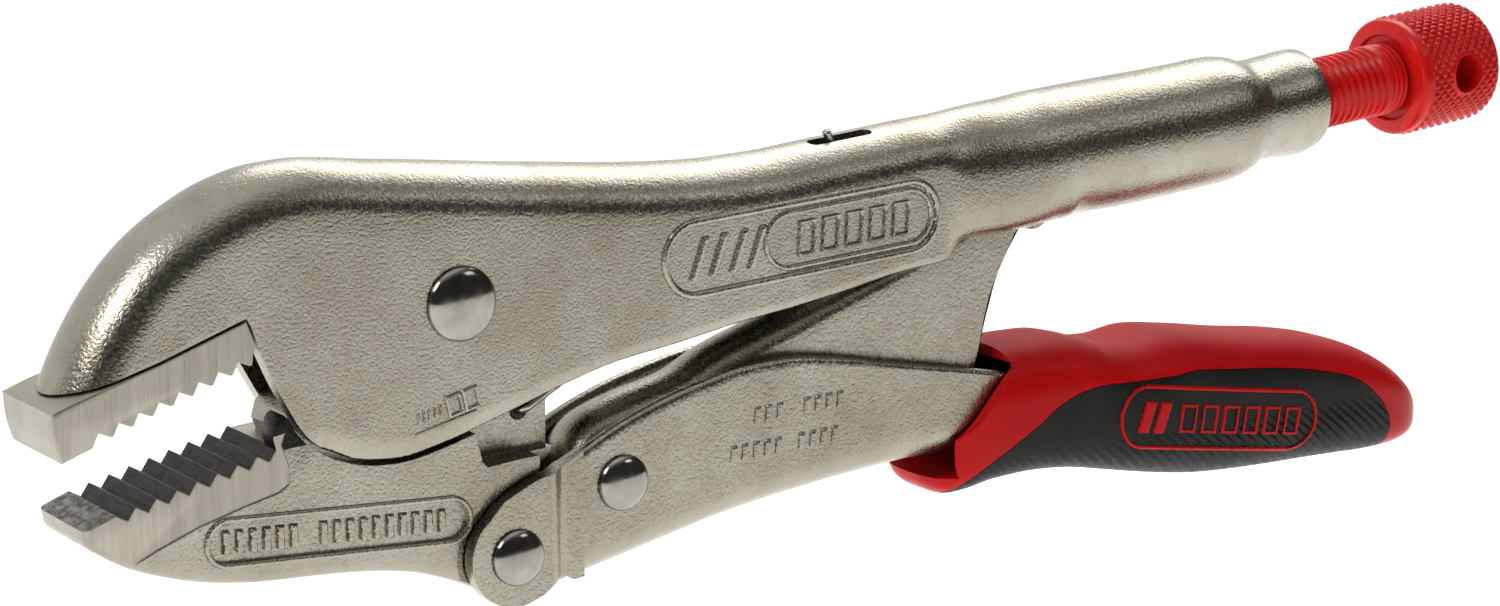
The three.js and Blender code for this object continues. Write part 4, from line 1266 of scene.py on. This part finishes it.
floor = bpy.data.objects.new("floor", bpy.data.meshes.new("floor"))
size, front, drop = 6.0, -1.9, 0.16  # the opened handle reaches below the closed tool
corners = [(-size, front, 0), (size, front, 0), (size, size, 0), (-size, size, 0)]
floor.data.from_pydata(corners, [], [(0, 1, 2, 3)])
scene.collection.objects.link(floor)
floor.location.z = cad_box[0][2] - drop
pale = Shader("pale_floor", roughness=0.7)
pale.principled.inputs["Base Color"].default_value = (0.93, 0.93, 0.925, 1)
pale.principled.inputs["Emission Color"].default_value = (1, 1, 0.995, 1)
pale.principled.inputs["Emission Strength"].default_value = 0.5
floor.data.materials.append(pale.done())

world = bpy.data.worlds.new("studio")
scene.world = world
world.use_nodes = True
tree = world.node_tree
background = tree.nodes["Background"]
coord = tree.nodes.new("ShaderNodeTexCoord")
split = tree.nodes.new("ShaderNodeSeparateXYZ")
tree.links.new(coord.outputs["Generated"], split.inputs["Vector"])
sky = tree.nodes.new("ShaderNodeValToRGB")
stops = [(0.0, 0.04), (0.62, 0.05), (0.80, 0.30), (0.95, 0.9)]
for _ in range(len(stops) - 2):
    sky.color_ramp.elements.new(0.5)
for element, (place, value) in zip(sky.color_ramp.elements, stops):
    element.position = place
    element.color = (value, value, value * 0.985, 1)
tree.links.new(split.outputs["Z"], sky.inputs["Fac"])
behind = tree.nodes.new("ShaderNodeMapRange")
for socket, number in (("From Min", 0.05), ("From Max", 0.35), ("To Min", 0.0), ("To Max", 1.0)):
    behind.inputs[socket].default_value = number
tree.links.new(split.outputs["Y"], behind.inputs["Value"])
surround = tree.nodes.new("ShaderNodeMix")
surround.data_type = "RGBA"
tree.links.new(behind.outputs["Result"], next(s for s in surround.inputs if s.name == "Factor" and s.enabled))
rgba = [s for s in surround.inputs if s.type == "RGBA"]
tree.links.new(sky.outputs["Color"], rgba[0])
rgba[1].default_value = (0.85, 0.85, 0.84, 1)
tree.links.new(next(s for s in surround.outputs if s.enabled), background.inputs["Color"])
backdrop = tree.nodes.new("ShaderNodeBackground")
shown = tree.nodes.new("ShaderNodeMixShader")
tree.links.new(tree.nodes.new("ShaderNodeLightPath").outputs["Is Camera Ray"], shown.inputs["Fac"])
tree.links.new(background.outputs["Background"], shown.inputs[1])
tree.links.new(backdrop.outputs["Background"], shown.inputs[2])
tree.links.new(shown.outputs["Shader"], tree.nodes["World Output"].inputs["Surface"])
backdrop.inputs["Color"].default_value = (1, 1, 1, 1)


LIT_POINT = Vector((0, 0, 0.04))


def area_light(name, place, width, height, power):
    data = bpy.data.lights.new(name, "AREA")
    data.shape = "RECTANGLE"
    data.size, data.size_y = width, height
    data.energy = power
    obj = bpy.data.objects.new(name, data)
    scene.collection.objects.link(obj)
    obj.location = place
    obj.rotation_euler = (LIT_POINT - Vector(place)).to_track_quat("-Z", "Y").to_euler()


area_light("top_rear_softbox", (0.52, 0.42, 0.72), 0.9, 0.35, 4.5)
area_light("left_key", (-0.95, -0.25, 0.85), 0.45, 0.45, 6)
area_light("right_fill", (0.9, -0.9, 1.0), 0.5, 0.3, 1.0)

VIEW_AZIMUTH = math.radians(33.71)
VIEW_ELEVATION = math.radians(11.79)
VIEW_DISTANCE = 0.505
target = Vector(framed([51.18, 0, -7.15]))
towards = Vector((-math.sin(VIEW_AZIMUTH) * math.cos(VIEW_ELEVATION),
                  -math.cos(VIEW_AZIMUTH) * math.cos(VIEW_ELEVATION), math.sin(VIEW_ELEVATION)))
camera_data = bpy.data.cameras.new("camera")
camera_data.lens = 85
camera_data.sensor_width = 36
camera_data.clip_start = 0.01
camera = bpy.data.objects.new("camera", camera_data)
scene.collection.objects.link(camera)
camera.location = target + towards * VIEW_DISTANCE
camera.rotation_euler = (-towards).to_track_quat("-Z", "Y").to_euler()
scene.camera = camera
